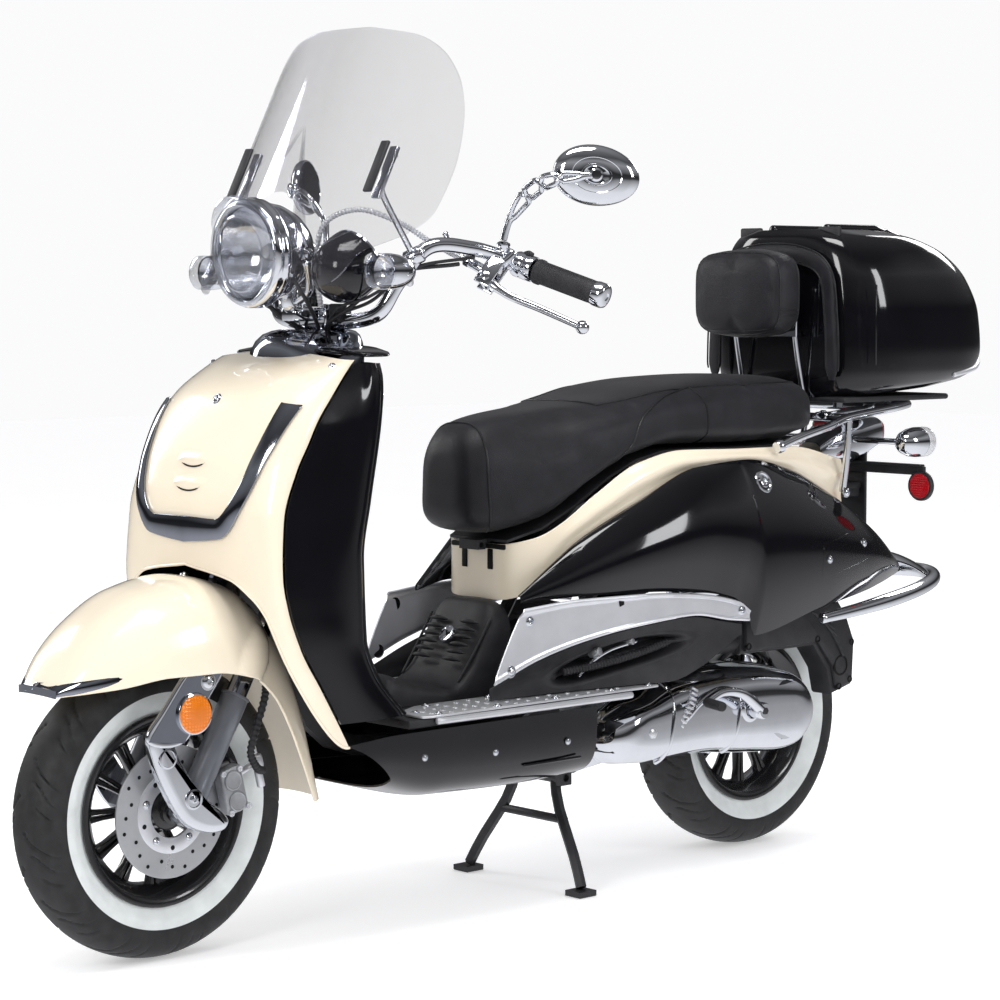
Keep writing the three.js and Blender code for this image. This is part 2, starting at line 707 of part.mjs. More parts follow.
const PANEL_TOP = [
  // y, x, z
  [-6, 120, 482], [60, 132, 534], [103, 142, 565], [213, 164, 621], [332, 174, 669], [454, 168, 676],
  [581, 153, 654], [701, 137, 607], [824, 118, 542], [925, 92, 476],
];
const PANEL_FOOT = [
  [-6, 122, 472], [100, 162, 480], [202, 178, 479], [330, 192, 470], [395, 198, 455], [430, 198, 430],
  [440, 197, 392], [626, 186, 425], [760, 158, 438], [841, 130, 446], [925, 94, 454],
];
const PANEL_BULGE = [[-6, 1], [150, 22], [330, 34], [500, 38], [700, 34], [850, 20], [925, 6]];
function panelSurface(u, v) {
  const y = lerp(-6, 925, u);
  const [xt, zt] = track(PANEL_TOP, y);
  const [xf, zf] = track(PANEL_FOOT, y);
  const [bulge] = track(PANEL_BULGE, y);
  return V(lerp(xt, xf, v) + bulge * Math.sin(Math.PI * v), y, lerp(zt, zf, v));
}
pair("side_panel", plate(panelSurface, 18, 5, 3), BLACK_GLOSS);

const TRIM_TOP = [[-33, 467], [80, 474], [202, 474], [320, 465], [395, 449], [420, 432]];
const TRIM_FOOT = [[-91, 356], [0, 390], [92, 412], [200, 429], [300, 437], [380, 424], [420, 420]];
const TRIM_X = [[-91, 150], [0, 156], [92, 165], [202, 181], [300, 193], [420, 203]];
function trimSurface(u, v) {
  const y = lerp(-33, 420, u);
  const yy = y - (1 - u) ** 2 * 58 * v;
  const [top] = track(TRIM_TOP, y);
  const [foot] = track(TRIM_FOOT, yy);
  const [x] = track(TRIM_X, yy);
  return V(x + 3, yy, lerp(top, foot, v));
}
pair("side_trim", plate(trimSurface, 12, 2, 3), SILVER);

// Tail bumper: a chrome tube round the tail with a lip in to the bodywork.
const BUMPER = { half: 190, front: 620, reach: 473, tube: 13 };
const bumperPoint = (a, z) => [
  BUMPER.half * Math.cos(a),
  BUMPER.front + BUMPER.reach * Math.sin(a),
  z + 36 * Math.sin(a),
];
function bumper() {
  const path = [...Array(13).keys()].map((i) => bumperPoint((Math.PI * i) / 12, 404));
  const lip = (u, v) => {
    const a = lerp(1.05, Math.PI - 1.05, u);
    const [x, y, z] = bumperPoint(a, 406);
    const reach = lerp(0, 1, v) * (0.12 + 0.3 * Math.sin(a));
    return V(x * (1 - reach * 0.8), lerp(y, 700, reach * 0.75), z + 46 * v * Math.sin(a));
  };
  return joined(tube(path, BUMPER.tube, 20, 4), plate(lip, 8, 2, 4));
}
add("rear_bumper", bumper(), CHROME);

// ---------- seat ----------
const SEAT = [
  // y, low z, top z, half width
  [-58, 606, 700, 42], [-50, 584, 722, 62], [-30, 570, 742, 76], [0, 566, 752, 86], [50, 577, 760, 102],
  [100, 600, 765, 120], [150, 638, 771, 137], [226, 684, 782, 151], [317, 701, 800, 157],
  [400, 700, 808, 157], [520, 698, 811, 150], [620, 700, 808, 138], [670, 703, 801, 124],
  [696, 716, 784, 100],
];
function seatCushion() {
  const n = 18;
  const rings = SEAT.map(([y, low, top, half]) =>
    [...Array(n).keys()].map((i) => {
      const a = (i / n) * 2 * Math.PI;
      const up = squarish(Math.sin(a), Math.sin(a) > 0 ? 2.6 : 7);
      return V(half * squarish(Math.cos(a), 3), y, lerp(low, top, (up + 1) / 2));
    }),
  );
  return loft(rings);
}
add("seat_cushion", seatCushion(), LEATHER);

function seatBaseSurface(u, v) {
  const y = lerp(16, 680, v);
  const [low, , half] = track(SEAT, y);
  return V((2 * u - 1) * (half - 24), y, low - 4);
}
function seatBase() {
  const [y, z] = SEAT_HINGE;
  const outline = [
    [-8, -7], [8, -7], [9, 3], [30, 6], [40, 10], [40, 15], [10, 9], [-8, 8],
  ];
  const lug = profile(outline.map(([a, b]) => [y + a, z + b]), -22, 22);
  return cut(joined(plate(seatBaseSurface, 2, 12, 4), lug), rod([-40, y, z], [40, y, z], 4.6, 14));
}
add("seat_base", seatBase(), BLACK_MATTE);

// ---------- rear rack, top box and backrest ----------
const RACK_RAIL = [
  [159, 546, 694], [158, 600, 708], [151, 680, 723], [142, 733, 734], [142, 860, 748], [118, 925, 752],
];
function rack() {
  const rail = (s) => tube(RACK_RAIL.map(([x, y, z]) => [s * x, y, z]), 7, 8, 3);
  const leg = (s) => tube([[s * 142, 740, 735], [s * 136, 742, 670], [s * 125, 744, 608]], 6, 4, 3);
  const bar = (y, z) => rod([-142, y, z], [142, y, z], 7, 8);
  return joined(
    rail(1),
    rail(-1),
    leg(1),
    leg(-1),
    bar(733, 734),
    bar(860, 748),
    rod([-118, 924, 752], [118, 924, 752], 8, 10),
    rod([-90, 733, 734], [-90, 924, 752], 6, 8),
    rod([90, 733, 734], [90, 924, 752], 6, 8),
  );
}
add("rear_rack", rack(), CHROME);

const BOX = [
  // z, half width, front y, rear y
  [766, 150, 716, 1010], [784, 182, 709, 1062], [815, 194, 707, 1094], [850, 196, 707, 1106],
  [910, 194, 708, 1100], [970, 184, 710, 1072], [1015, 164, 712, 1024], [1042, 136, 716, 960],
  [1056, 92, 728, 900],
];
function boxRing(z, inset) {
  const n = 16;
  const [half, front, rear] = track(BOX, z);
  const slope = 0.07; // the floor of the box rises to the rear
  return [...Array(n).keys()].map((i) => {
    const a = (i / n) * 2 * Math.PI;
    const across = squarish(Math.cos(a), 4);
    const along = squarish(Math.sin(a), 3.2);
    const y = lerp(rear - inset, front + inset, (along + 1) / 2);
    const rise = z < 815 ? (815 - z) / 49 : 0;
    return V((half - inset) * across, y, z + rise * slope * (y - 707));
  });
}
const LID_FRONT = 742;
const LID_EDGE = 818;
const boxOuter = [766, 784, 815, 860, 920, 970, 1000, 1024, 1042, 1056];
const boxInner = [790, 815, 860, 920, 970, 1000, 1022, 1036, 1048];
const boxSolid = solid(loft(boxOuter.map((z) => boxRing(z, 0))));
const boxHollow = solid(loft(boxInner.map((z) => boxRing(z, 6))));
const boxWall = boxSolid.subtract(boxHollow);
const lidZone = solid(block(-250, 250, LID_FRONT, 1300, LID_EDGE, 1300));
const floorZone = solid(block(-250, 250, 500, 1300, 700, LID_EDGE - 1));
const faceZone = solid(block(-250, 250, 500, LID_FRONT - 1, 700, 1300));
add("box_base", geometryOf(boxWall.intersect(floorZone.add(faceZone))), BLACK_GLOSS);
add("box_lid", geometryOf(boxWall.intersect(lidZone)), BLACK_GLOSS);

// Inverted U pad on the face of the box.
const PAD_ARM = [[60, 703, 1012], [116, 702, 985], [134, 701, 900], [138, 701, 798]];
function boxPad() {
  const path = [...PAD_ARM.map(([x, y, z]) => V(-x, y, z)).reverse(), ...PAD_ARM.map((p) => V(...p))];
  const curve = new THREE.CatmullRomCurve3(path, false, "centripetal");
  const n = 20;
  const rings = [...Array(n + 1).keys()].map((i) => {
    const p = curve.getPoint(i / n);
    const t = curve.getTangent(i / n);
    const side = t.clone().cross(V(0, 1, 0)).normalize();
    return [...Array(8).keys()].map((k) => {
      const a = (k / 8) * 2 * Math.PI;
      const out = V(0, 4.5 * squarish(Math.sin(a), 3), 0);
      return p.clone().addScaledVector(side, 17 * squarish(Math.cos(a), 3)).add(out);
    });
  });
  return loft(rings);
}
add("box_pad", boxPad(), LEATHER);

// The backrest stands on the rear of the seat and lifts with it.
function backrestFrame() {
  const route = [[690, 692], [705, 704], [711, 750], [700, 795], [682, 884]];
  const rodAt = (s) => tube(route.map(([y, z]) => [s * 68, y, z]), 5, 7, 3);
  const upright = (s) => rod([s * 68, 682, 878], [s * 68, 676, 960], 5, 8);
  return joined(
    rodAt(1),
    rodAt(-1),
    upright(1),
    upright(-1),
    rod([-68, 682, 878], [68, 682, 878], 5, 8),
    block(-80, 80, 674, 677, 872, 990),
    block(-74, 74, 655, 698, 687, 691),
  );
}
add("backrest_frame", backrestFrame(), CHROME);

function backrestPad() {
  const n = 24;
  const ring = (y, w, h) =>
    [...Array(n).keys()].map((i) => {
      const a = (i / n) * 2 * Math.PI;
      return V(w * squarish(Math.cos(a), 4), y, 946 + h * squarish(Math.sin(a), 4));
    });
  return loft([
    ring(668, 98, 70),
    ring(655, 105, 75),
    ring(625, 104, 75),
    ring(606, 96, 69),
    ring(598, 84, 60),
  ]);
}
add("backrest_pad", backrestPad(), LEATHER);

// ---------- lamps and plate bracket ----------
function tailLamp() {
  return joined(block(-44, 44, 830, 962, 682, 726), block(-30, 30, 800, 892, 640, 690));
}
add("tail_lamp", tailLamp(), RED);
const rearSignal = joined(turnSignal(0).translate(186, 862, 690), rod([186, 858, 690], [60, 852, 690], 5, 8));
pair("rear_signal", rearSignal, CHROME);
function plateBracket() {
  return joined(
    block(-40, 40, 905, 911, 520, 670),
    block(-175, 175, 896, 903, 628, 648),
    block(-40, 40, 896, 911, 630, 646),
    rod([172, 893, 612], [172, 903, 612], 26, 20),
    rod([-172, 893, 612], [-172, 903, 612], 26, 20),
    block(-30, 30, 760, 908, 600, 612),
  );
}
add("plate_bracket", plateBracket(), BLACK_MATTE);

// ---------- frame, tank and running gear ----------
function mainFrame() {
  const headTube = rod(steerPoint(576), steerPoint(800), 23, 14);
  const bore = rod(steerPoint(560), steerPoint(812), 15.5, 14);
  const spine = tube(
    [
      [0, -392, 655], [0, -366, 605], [0, -362, 540], [0, -362, 430], [0, -330, 320], [0, -262, 268],
      [0, 20, 266],
    ],
    17, 14, 3,
  );
  const rail = (s) =>
    tube(
      [
        [0, 8, 266], [s * 60, 22, 270], [s * 78, 70, 312], [s * 84, 130, 400], [s * 88, 220, 520],
        [s * 90, 330, 606], [s * 90, 560, 640], [s * 84, 800, 652],
      ],
      11, 14, 3,
    );
  const bar = (y, z, r = 9) => rod([-88, y, z], [88, y, z], r, 8);
  const [sy, sz] = STAND_PIVOT;
  const lug = [
    [24, 256], [24, 284], [70, 318], [112, 326], [sy + 12, sz + 30], [sy + 12, sz - 12], [sy - 12, sz - 12],
    [sy - 26, sz + 60],
  ];
  const [ty, tz] = SHOCK_TOP;
  return cut(
    joined(
      headTube,
      spine,
      rail(1),
      rail(-1),
      bar(ENGINE_PIVOT[0], ENGINE_PIVOT[1], 8.5),
      bar(330, 606),
      bar(790, 651),
      profile(lug, 62, 72),
      profile(lug, -72, -62),
      block(-101, -64, ty - 9, ty + 9, 618, 640),
      block(-101, -95, ty - 9, ty + 9, tz - 9, 620),
      block(-70, -64, ty - 9, ty + 9, tz - 9, 620),
      rod([-101, ty, tz], [-64, ty, tz], 5.5, 10),
    ),
    bore,
    rod([-80, sy, sz], [80, sy, sz], 6.4, 12),
  );
}
add("main_frame", mainFrame(), STEEL);
add("fuel_tank", block(-76, 76, 524, 720, 556, 622), STEEL);

function engineBlock() {
  const [py, pz] = ENGINE_PIVOT;
  const arm = [
    [330, 190], [330, 296], [400, 296], [570, 308], [600, 306], [604, 285], [650, 245], [650, 195],
    [600, 185],
  ];
  return cut(
    joined(
      block(-70, 58, 205, 335, 196, 330),
      rod([0, 215, 264], [0, 66, 262], 46, 18),
      block(-52, 52, 60, 92, 214, 310),
      block(-34, 34, 86, 230, 300, 346),
      rod([-34, py, pz], [34, py, pz], 17, 18),
      profile(arm, -72, -61),
      rod([-66, REAR_AXLE_Y, TYRE_RADIUS], [61, REAR_AXLE_Y, TYRE_RADIUS], 10, 16),
      rod([SHOCK_X - 14, ...SHOCK_FOOT], [-66, ...SHOCK_FOOT], 5.5, 12),
    ),
    rod([-50, py, pz], [50, py, pz], 9.2, 16),
  );
}
add("engine_block", engineBlock(), CAST);

const CASE = [
  [168, 232], [178, 268], [214, 292], [262, 306], [320, 324], [480, 332], [570, 322], [636, 300], [668, 255],
  [664, 215], [636, 184], [600, 174], [500, 180], [400, 190], [250, 190], [190, 202],
];
function driveCase() {
  const outline = new THREE.CatmullRomCurve3(CASE.map(([y, z]) => V(y, z, 0)), true, "centripetal");
  const shape = new THREE.Shape(outline.getPoints(30).map((p) => new THREE.Vector2(p.x, p.y)));
  const edge = { bevelEnabled: true, bevelThickness: 12, bevelSize: 12, bevelOffset: -12, bevelSegments: 2 };
  const g = new THREE.ExtrudeGeometry(shape, { depth: 74, ...edge });
  return g.rotateY(Math.PI / 2).rotateX(Math.PI / 2).translate(74, 0, 0);
}
add("drive_case", driveCase(), CHROME);

const AIRBOX = [
  [470, 350], [470, 424], [600, 438], [705, 440], [738, 400], [760, 352], [755, 275], [702, 262], [690, 305],
  [655, 350],
];
add("air_box", profile(AIRBOX, 92, 150), BLACK_MATTE);

function muffler() {
  return joined(
    rod([-132, 360, 222], [-140, 770, 268], 52, 20),
    tube([[-60, 70, 226], [-80, 78, 216], [-101, 120, 212], [-122, 220, 212], [-132, 364, 222]], 14, 8, 3),
  );
}
add("muffler", muffler(), CHROME);

function kickLever() {
  const [y, z] = KICK_PIVOT;
  return joined(
    rod([161, y, z], [190, y, z], 14, 12),
    tube([[182, y, z], [186, y - 55, z + 34], [186, y - 100, z + 40], [186, y - 136, z + 28]], 7, 10, 3),
    rod([184, y - 136, z + 28], [232, y - 146, z + 26], 8, 10),
  );
}
add("kick_lever", kickLever(), CHROME);

// Centre stand, down: feet on the ground a little ahead of the pivot.
function centreStand() {
  const [y, z] = STAND_PIVOT;
  const leg = (s) =>
    tube([[s * 46, y, z], [s * 56, y - 4, 138], [s * 112, y - 18, 50], [s * 132, y - 24, 12]], 9, 7, 3);
  return joined(
    leg(1),
    leg(-1),
    rod([-60, y, z], [60, y, z], 11, 14),
    rod([-64.5, y, z], [64.5, y, z], 5.6, 12),
    rod([-78, y - 8, 110], [78, y - 8, 110], 7, 10),
    block(116, 150, y - 44, y - 8, 0, 9),
    block(-150, -116, y - 44, y - 8, 0, 9),
  );
}
add("centre_stand", centreStand(), STEEL);

// Rear shock absorber on the right: body hangs from the frame, rod stands on the engine.
const shockDir = V(0, SHOCK_FOOT[0] - SHOCK_TOP[0], SHOCK_FOOT[1] - SHOCK_TOP[1]);
const SHOCK_LENGTH = shockDir.length();
shockDir.normalize();
const shockPoint = (s) => [SHOCK_X, SHOCK_TOP[0] + shockDir.y * s, SHOCK_TOP[1] + shockDir.z * s];
function eye([, y, z], radius, bore) {
  const ring = rod([SHOCK_X - 9, y, z], [SHOCK_X + 9, y, z], radius, 16);
  return cut(ring, rod([SHOCK_X - 20, y, z], [SHOCK_X + 20, y, z], bore, 14));
}
const damper = cut(
  rod(shockPoint(16), shockPoint(150), 12.5, 16),
  rod(shockPoint(26), shockPoint(160), 9, 14),
);
const neck = rod(shockPoint(11), shockPoint(18), 8, 12);
add("shock_body", joined(eye(shockPoint(0), 13, 6.4), neck, damper), CHROME);
add(
  "shock_rod",
  joined(
    eye(shockPoint(SHOCK_LENGTH), 13, 6.4),
    rod(shockPoint(80), shockPoint(SHOCK_LENGTH - 10), 5.5, 12),
    rod(shockPoint(SHOCK_LENGTH - 30), shockPoint(SHOCK_LENGTH - 22), 21, 16),
  ),
  CHROME,
);

export default scooter;
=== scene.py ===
# Retro motor scooter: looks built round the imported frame. Shapes are laid out in millimetres
# about the middle of the wheelbase (+X rider's left, +Y rear, +Z up) and placed in metres.
import math

import bmesh
import bpy
import numpy as np
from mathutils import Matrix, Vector
from mathutils.bvhtree import BVHTree


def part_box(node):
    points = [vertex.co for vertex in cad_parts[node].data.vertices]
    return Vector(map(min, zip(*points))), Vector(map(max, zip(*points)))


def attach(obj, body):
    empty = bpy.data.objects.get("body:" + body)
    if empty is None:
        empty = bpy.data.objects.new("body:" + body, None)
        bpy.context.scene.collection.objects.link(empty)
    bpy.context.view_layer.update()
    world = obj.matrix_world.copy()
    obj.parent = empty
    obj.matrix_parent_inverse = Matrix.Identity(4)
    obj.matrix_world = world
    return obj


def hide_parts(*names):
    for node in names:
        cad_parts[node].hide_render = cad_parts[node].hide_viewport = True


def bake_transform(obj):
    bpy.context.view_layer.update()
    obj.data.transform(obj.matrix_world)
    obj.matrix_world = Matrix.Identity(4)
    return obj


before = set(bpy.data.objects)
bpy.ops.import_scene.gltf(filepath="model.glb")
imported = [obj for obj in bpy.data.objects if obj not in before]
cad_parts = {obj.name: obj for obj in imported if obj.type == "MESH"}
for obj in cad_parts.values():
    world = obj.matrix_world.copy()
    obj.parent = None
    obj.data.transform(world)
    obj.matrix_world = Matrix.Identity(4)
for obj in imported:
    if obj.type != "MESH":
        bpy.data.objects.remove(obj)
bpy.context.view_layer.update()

scene = bpy.context.scene

# ---------- driving dimensions, in millimetres ----------
WHEELBASE = 1230
TYRE_R = 216
AXLE_F = -WHEELBASE / 2
AXLE_R = WHEELBASE / 2
LEG_X = 76
LEG_RAKE = math.radians(29)
WIND_RAKE = 0.5  # rearward run of the screen for each unit of height
HEAD_RAKE = math.radians(25)
HEAD_AXIS = (0, math.sin(HEAD_RAKE), math.cos(HEAD_RAKE))
# the frame is centred on its own box, and the wheels say where the wheelbase's middle is
axle_front = sum(v.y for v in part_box("front_rim")) / 2
axle_rear = sum(v.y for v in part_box("rear_rim")) / 2
SHIFT = np.array([0.0, (axle_front + axle_rear) / 2 * 1000, 0.0])


def metres(points):
    """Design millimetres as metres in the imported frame."""
    return (np.asarray(points, float).reshape(-1, 3) + SHIFT) / 1000


# ---------- curves and surfaces ----------
def lerp(a, b, t):
    return a + (b - a) * t


def turns(n):
    """n even angles round a circle."""
    return np.linspace(0, 2 * math.pi, n, endpoint=False)


def track(rows, key):
    """Rows of (key, value, ...) read at every key along a smooth curve that keeps inside its rows."""
    rows = np.array(rows, float)
    x, y = rows[:, 0], rows[:, 1:]
    key = np.clip(np.asarray(key, float), x[0], x[-1])
    h = np.diff(x)
    s = np.diff(y, axis=0) / h[:, None]
    a, b = s[:-1], s[1:]
    total = np.where(a + b == 0, 1, a + b)
    slopes = np.vstack([s[:1], np.where(a * b > 0, 2 * a * b / total, 0), s[-1:]])
    i = np.clip(np.searchsorted(x, key, side="right") - 1, 0, len(h) - 1)
    t = ((key - x[i]) / h[i])[..., None]
    hh = h[i][..., None]
    return (
        (2 * t**3 - 3 * t**2 + 1) * y[i]
        + (t**3 - 2 * t**2 + t) * hh * slopes[i]
        + (3 * t**2 - 2 * t**3) * y[i + 1]
        + (t**3 - t**2) * hh * slopes[i + 1]
    )


def squarish(v, n):
    """A sine or cosine bent from a circle (n = 2) towards a square."""
    return np.sign(v) * np.abs(v) ** (2 / n)


def spline(points, ts, closed=False):
    """Centripetal Catmull-Rom curve through the points, read at ts from 0 to 1."""
    p = np.array(points, float)
    n = len(p)
    spans = n if closed else n - 1
    out = []
    for t in ts:
        q = t * spans
        i = min(int(q), spans - 1)
        w = q - i
        if closed:
            p0, p1, p2, p3 = p[(i - 1) % n], p[i % n], p[(i + 1) % n], p[(i + 2) % n]
        else:
            p1, p2 = p[i], p[i + 1]
            p0 = p[i - 1] if i > 0 else 2 * p1 - p2
            p3 = p[i + 2] if i + 2 < n else 2 * p2 - p1
        d0, d1, d2 = (
            max(np.linalg.norm(b - a), 1e-6) ** 0.5 for a, b in ((p0, p1), (p1, p2), (p2, p3))
        )
        m1 = ((p1 - p0) / d0 - (p2 - p0) / (d0 + d1) + (p2 - p1) / d1) * d1
        m2 = ((p2 - p1) / d1 - (p3 - p1) / (d1 + d2) + (p3 - p2) / d2) * d1
        out.append(
            (2 * w**3 - 3 * w**2 + 1) * p1
            + (w**3 - 2 * w**2 + w) * m1
            + (3 * w**2 - 2 * w**3) * p2
            + (w**3 - w**2) * m2
        )
    return np.array(out)


def unit(v):
    v = np.asarray(v, float)
    return v / max(np.linalg.norm(v), 1e-12)


def uv(nu, nv):
    """Even u along columns and v down rows."""
    return np.meshgrid(np.linspace(0, 1, nu + 1), np.linspace(0, 1, nv + 1))


def stack(x, y, z):
    """Three coordinates as one array of points."""
    return np.stack(np.broadcast_arrays(x, y, z), -1).astype(float)


def normals_of(p):
    """Unit normals of a grid of points."""
    n = np.cross(np.gradient(p, axis=1), np.gradient(p, axis=0))
    return n / np.maximum(np.linalg.norm(n, axis=-1, keepdims=True), 1e-9)


class Shape:
    """Closed shells in millimetres, collected into one object."""

    def __init__(self):
        self.v, self.f, self.m, self.n = [], [], [], 0

    def add(self, verts, faces, mat=0):
        v = np.asarray(verts, float).reshape(-1, 3)
        # a shell whose volume comes out negative has its faces turned round
        if len(faces) < 400:
            volume = sum(
                np.dot(v[f[0]], np.cross(v[f[j]], v[f[j + 1]])) for f in faces for j in range(1, len(f) - 1)
            )
        else:
            q = np.array([[f[0], f[1], f[2], f[-1]] for f in faces])
            a, b, c, d = v[q[:, 0]], v[q[:, 1]], v[q[:, 2]], v[q[:, 3]]
            volume = np.sum(a * np.cross(b, c)) + np.sum(a * np.cross(c, d))
        if volume < 0:
            faces = [list(f)[::-1] for f in faces]
        self.f += [[int(i) + self.n for i in f] for f in faces]
        self.m += list(mat) if isinstance(mat, (list, np.ndarray)) else [mat] * len(faces)
        self.v.append(v)
        self.n += len(v)
        return self

    def also_mirrored(self):
        v = np.vstack(self.v) * [-1, 1, 1]
        n = self.n
        self.v.append(v)
        self.f += [[i + n for i in f][::-1] for f in self.f]
        self.m += self.m
        self.n *= 2
        return self

    def mirrored(self):
        s = Shape()
        s.v = [np.vstack(self.v) * [-1, 1, 1]]
        s.f = [f[::-1] for f in self.f]
        s.m, s.n = list(self.m), self.n
        return s

    def join(self, other):
        self.f += [[i + self.n for i in f] for f in other.f]
        self.v += other.v
        self.m += other.m
        self.n += other.n

    def make(self, name, body, mats, replaces=(), sharp=38, bevel=0.0, slot=None):
        mesh = bpy.data.meshes.new(name)
        mesh.from_pydata(metres(np.vstack(self.v)).tolist(), [], self.f)
        for m in mats:
            mesh.materials.append(m)
        mesh.polygons.foreach_set("material_index", self.m)
        bm = bmesh.new()
        bm.from_mesh(mesh)
        bmesh.ops.remove_doubles(bm, verts=bm.verts, dist=2e-6)
        bmesh.ops.dissolve_degenerate(bm, edges=bm.edges, dist=1e-7)
        bm.to_mesh(mesh)
        bm.free()
        mesh.shade_smooth()
        mesh.set_sharp_from_angle(angle=math.radians(sharp))
        obj = bpy.data.objects.new(name, mesh)
        scene.collection.objects.link(obj)
        if bevel:
            b = obj.modifiers.new("edge", "BEVEL")
            b.width, b.segments, b.limit_method = bevel / 1000, 2, "ANGLE"
            b.angle_limit = math.radians(48)
            b.harden_normals = False
        if body:
            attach(obj, body)
        if replaces:
            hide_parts(*replaces)
        return obj


def grid_faces(nu, nv, wrap_u=False, start=0):
    """Quads of a grid with nu x nv cells; wrap_u joins the last column to the first."""
    cols = nu if wrap_u else nu + 1
    return [
        [
            start + j * cols + i,
            start + j * cols + (i + 1) % cols,
            start + (j + 1) * cols + (i + 1) % cols,
            start + (j + 1) * cols + i,
        ]
        for j in range(nv)
        for i in range(nu)
    ]


def plate(p, thickness):
    """A plate of even thickness under a grid of points, closed at its four edges."""
    rows, cols = p.shape[:2]
    q = p - normals_of(p) * thickness
    n = rows * cols
    faces = grid_faces(cols - 1, rows - 1)
    faces += [[i + n for i in f][::-1] for f in grid_faces(cols - 1, rows - 1)]
    for i in range(cols - 1):
        b = (rows - 1) * cols + i
        faces += [[i + 1, i, n + i, n + i + 1], [b, b + 1, n + b + 1, n + b]]
    for j in range(rows - 1):
        a, b = j * cols, j * cols + cols - 1
        faces += [[a, a + cols, n + a + cols, n + a], [b + cols, b, n + b, n + b + cols]]
    return np.vstack([p.reshape(-1, 3), q.reshape(-1, 3)]), faces


def loft(rings):
    """A closed body through rings of points, each end closed by one face."""
    rings = np.array(rings, float)
    count, n = rings.shape[:2]
    faces = grid_faces(n, count - 1, True)
    faces += [list(range(n))[::-1], [(count - 1) * n + i for i in range(n)]]
    return rings.reshape(-1, 3), faces


def basis(axis, hint=(0, 0, 1)):
    """Three unit vectors at right angles, the first along the axis."""
    a = unit(axis)
    h = np.array(hint, float)
    if abs(np.dot(a, h)) > 0.95:
        h = np.array([0.0, 1.0, 0.0]) if abs(a[1]) < 0.9 else np.array([1.0, 0.0, 0.0])
    b = unit(np.cross(h, a))
    return a, b, np.cross(a, b)


def lathe(profile, origin, axis, n=40, closed=False):
    """Rows of (radius, along) turned about an axis through the origin."""
    a, b, c = basis(axis)
    prof = np.array(profile, float)
    if closed:
        prof = np.vstack([prof, prof[:1]])
    ang = turns(n)
    around = np.cos(ang)[:, None] * b + np.sin(ang)[:, None] * c
    pts = np.array(origin, float) + prof[:, 1, None, None] * a + prof[:, 0, None, None] * around[None]
    return pts.reshape(-1, 3), grid_faces(n, len(prof) - 1, True)


def rod(a, b, r, n=24, chamfer=None, r2=None):
    """A round bar from a to b with eased ends; r2 is its radius at b."""
    a, b = np.array(a, float), np.array(b, float)
    length = np.linalg.norm(b - a)
    c = min(r * 0.25, length * 0.25) if chamfer is None else chamfer
    e = r if r2 is None else r2
    prof = [(0, 0), (r - c, 0), (r - 0.3 * c, 0.3 * c), (r, c), (e, length - c)]
    prof += [(e - 0.3 * c, length - 0.3 * c), (e - c, length), (0, length)]
    return lathe(prof, a, b - a, n)


def tube(points, r, n=40, m=14, smooth=True, cap=True):
    """A round tube along a smooth curve, with rounded ends; r is a number or one per point along it."""
    path = spline(points, np.linspace(0, 1, n + 1)) if smooth else np.array(points, float)
    radii = np.full(len(path), float(r)) if np.isscalar(r) else np.interp(
        np.linspace(0, 1, len(path)), np.linspace(0, 1, len(r)), r
    )
    tangents = np.gradient(path, axis=0)
    tangents /= np.maximum(np.linalg.norm(tangents, axis=1, keepdims=True), 1e-9)
    _, side, _ = basis(tangents[0])
    rings = []
    ang = turns(m)
    for i, (p, t) in enumerate(zip(path, tangents)):
        side = unit(side - t * np.dot(side, t))
        up = np.cross(t, side)
        ring = np.cos(ang)[:, None] * side + np.sin(ang)[:, None] * up
        if cap and i == 0:
            rings += [
                p - t * radii[0] * 0.35 + ring * radii[0] * 0.55,
                p - t * radii[0] * 0.18 + ring * radii[0] * 0.88
            ]
        rings.append(p + ring * radii[i])
        if cap and i == len(path) - 1:
            rings += [
                p + t * radii[-1] * 0.18 + ring * radii[-1] * 0.88,
                p + t * radii[-1] * 0.35 + ring * radii[-1] * 0.55
            ]
    return loft(rings)


def slab(x0, x1, y0, y1, z0, z1, r=3.0):
    """A block whose twelve edges are rounded."""
    sx, sy, sz = (x1 - x0) / 2, (y1 - y0) / 2, (z1 - z0) / 2
    r = min(r, sx * 0.9, sy * 0.9, sz * 0.9)
    centre = np.array([(x0 + x1) / 2, (y0 + y1) / 2, (z0 + z1) / 2])
    rings = []
    for z, k in ((-sz, 0), (-sz + 0.3 * r, 0.71), (-sz + r, 1), (sz - r, 1), (sz - 0.3 * r, 0.71), (sz, 0)):
        ring = []
        for qx, qy, start in ((1, 1, 0), (-1, 1, 1), (-1, -1, 2), (1, -1, 3)):
            for s in range(4):
                a = (start + s / 3) * math.pi / 2
                ring.append(
                    [qx * (sx - r) + r * k * math.cos(a), qy * (sy - r) + r * k * math.sin(a), z]
                )
        rings.append(np.array(ring) + centre)
    return loft(rings)


def turned_to(verts, matrix, origin):
    """Points given along three axes (the matrix's columns) from an origin."""
    return np.asarray(verts) @ np.array(matrix).T + np.array(origin, float)


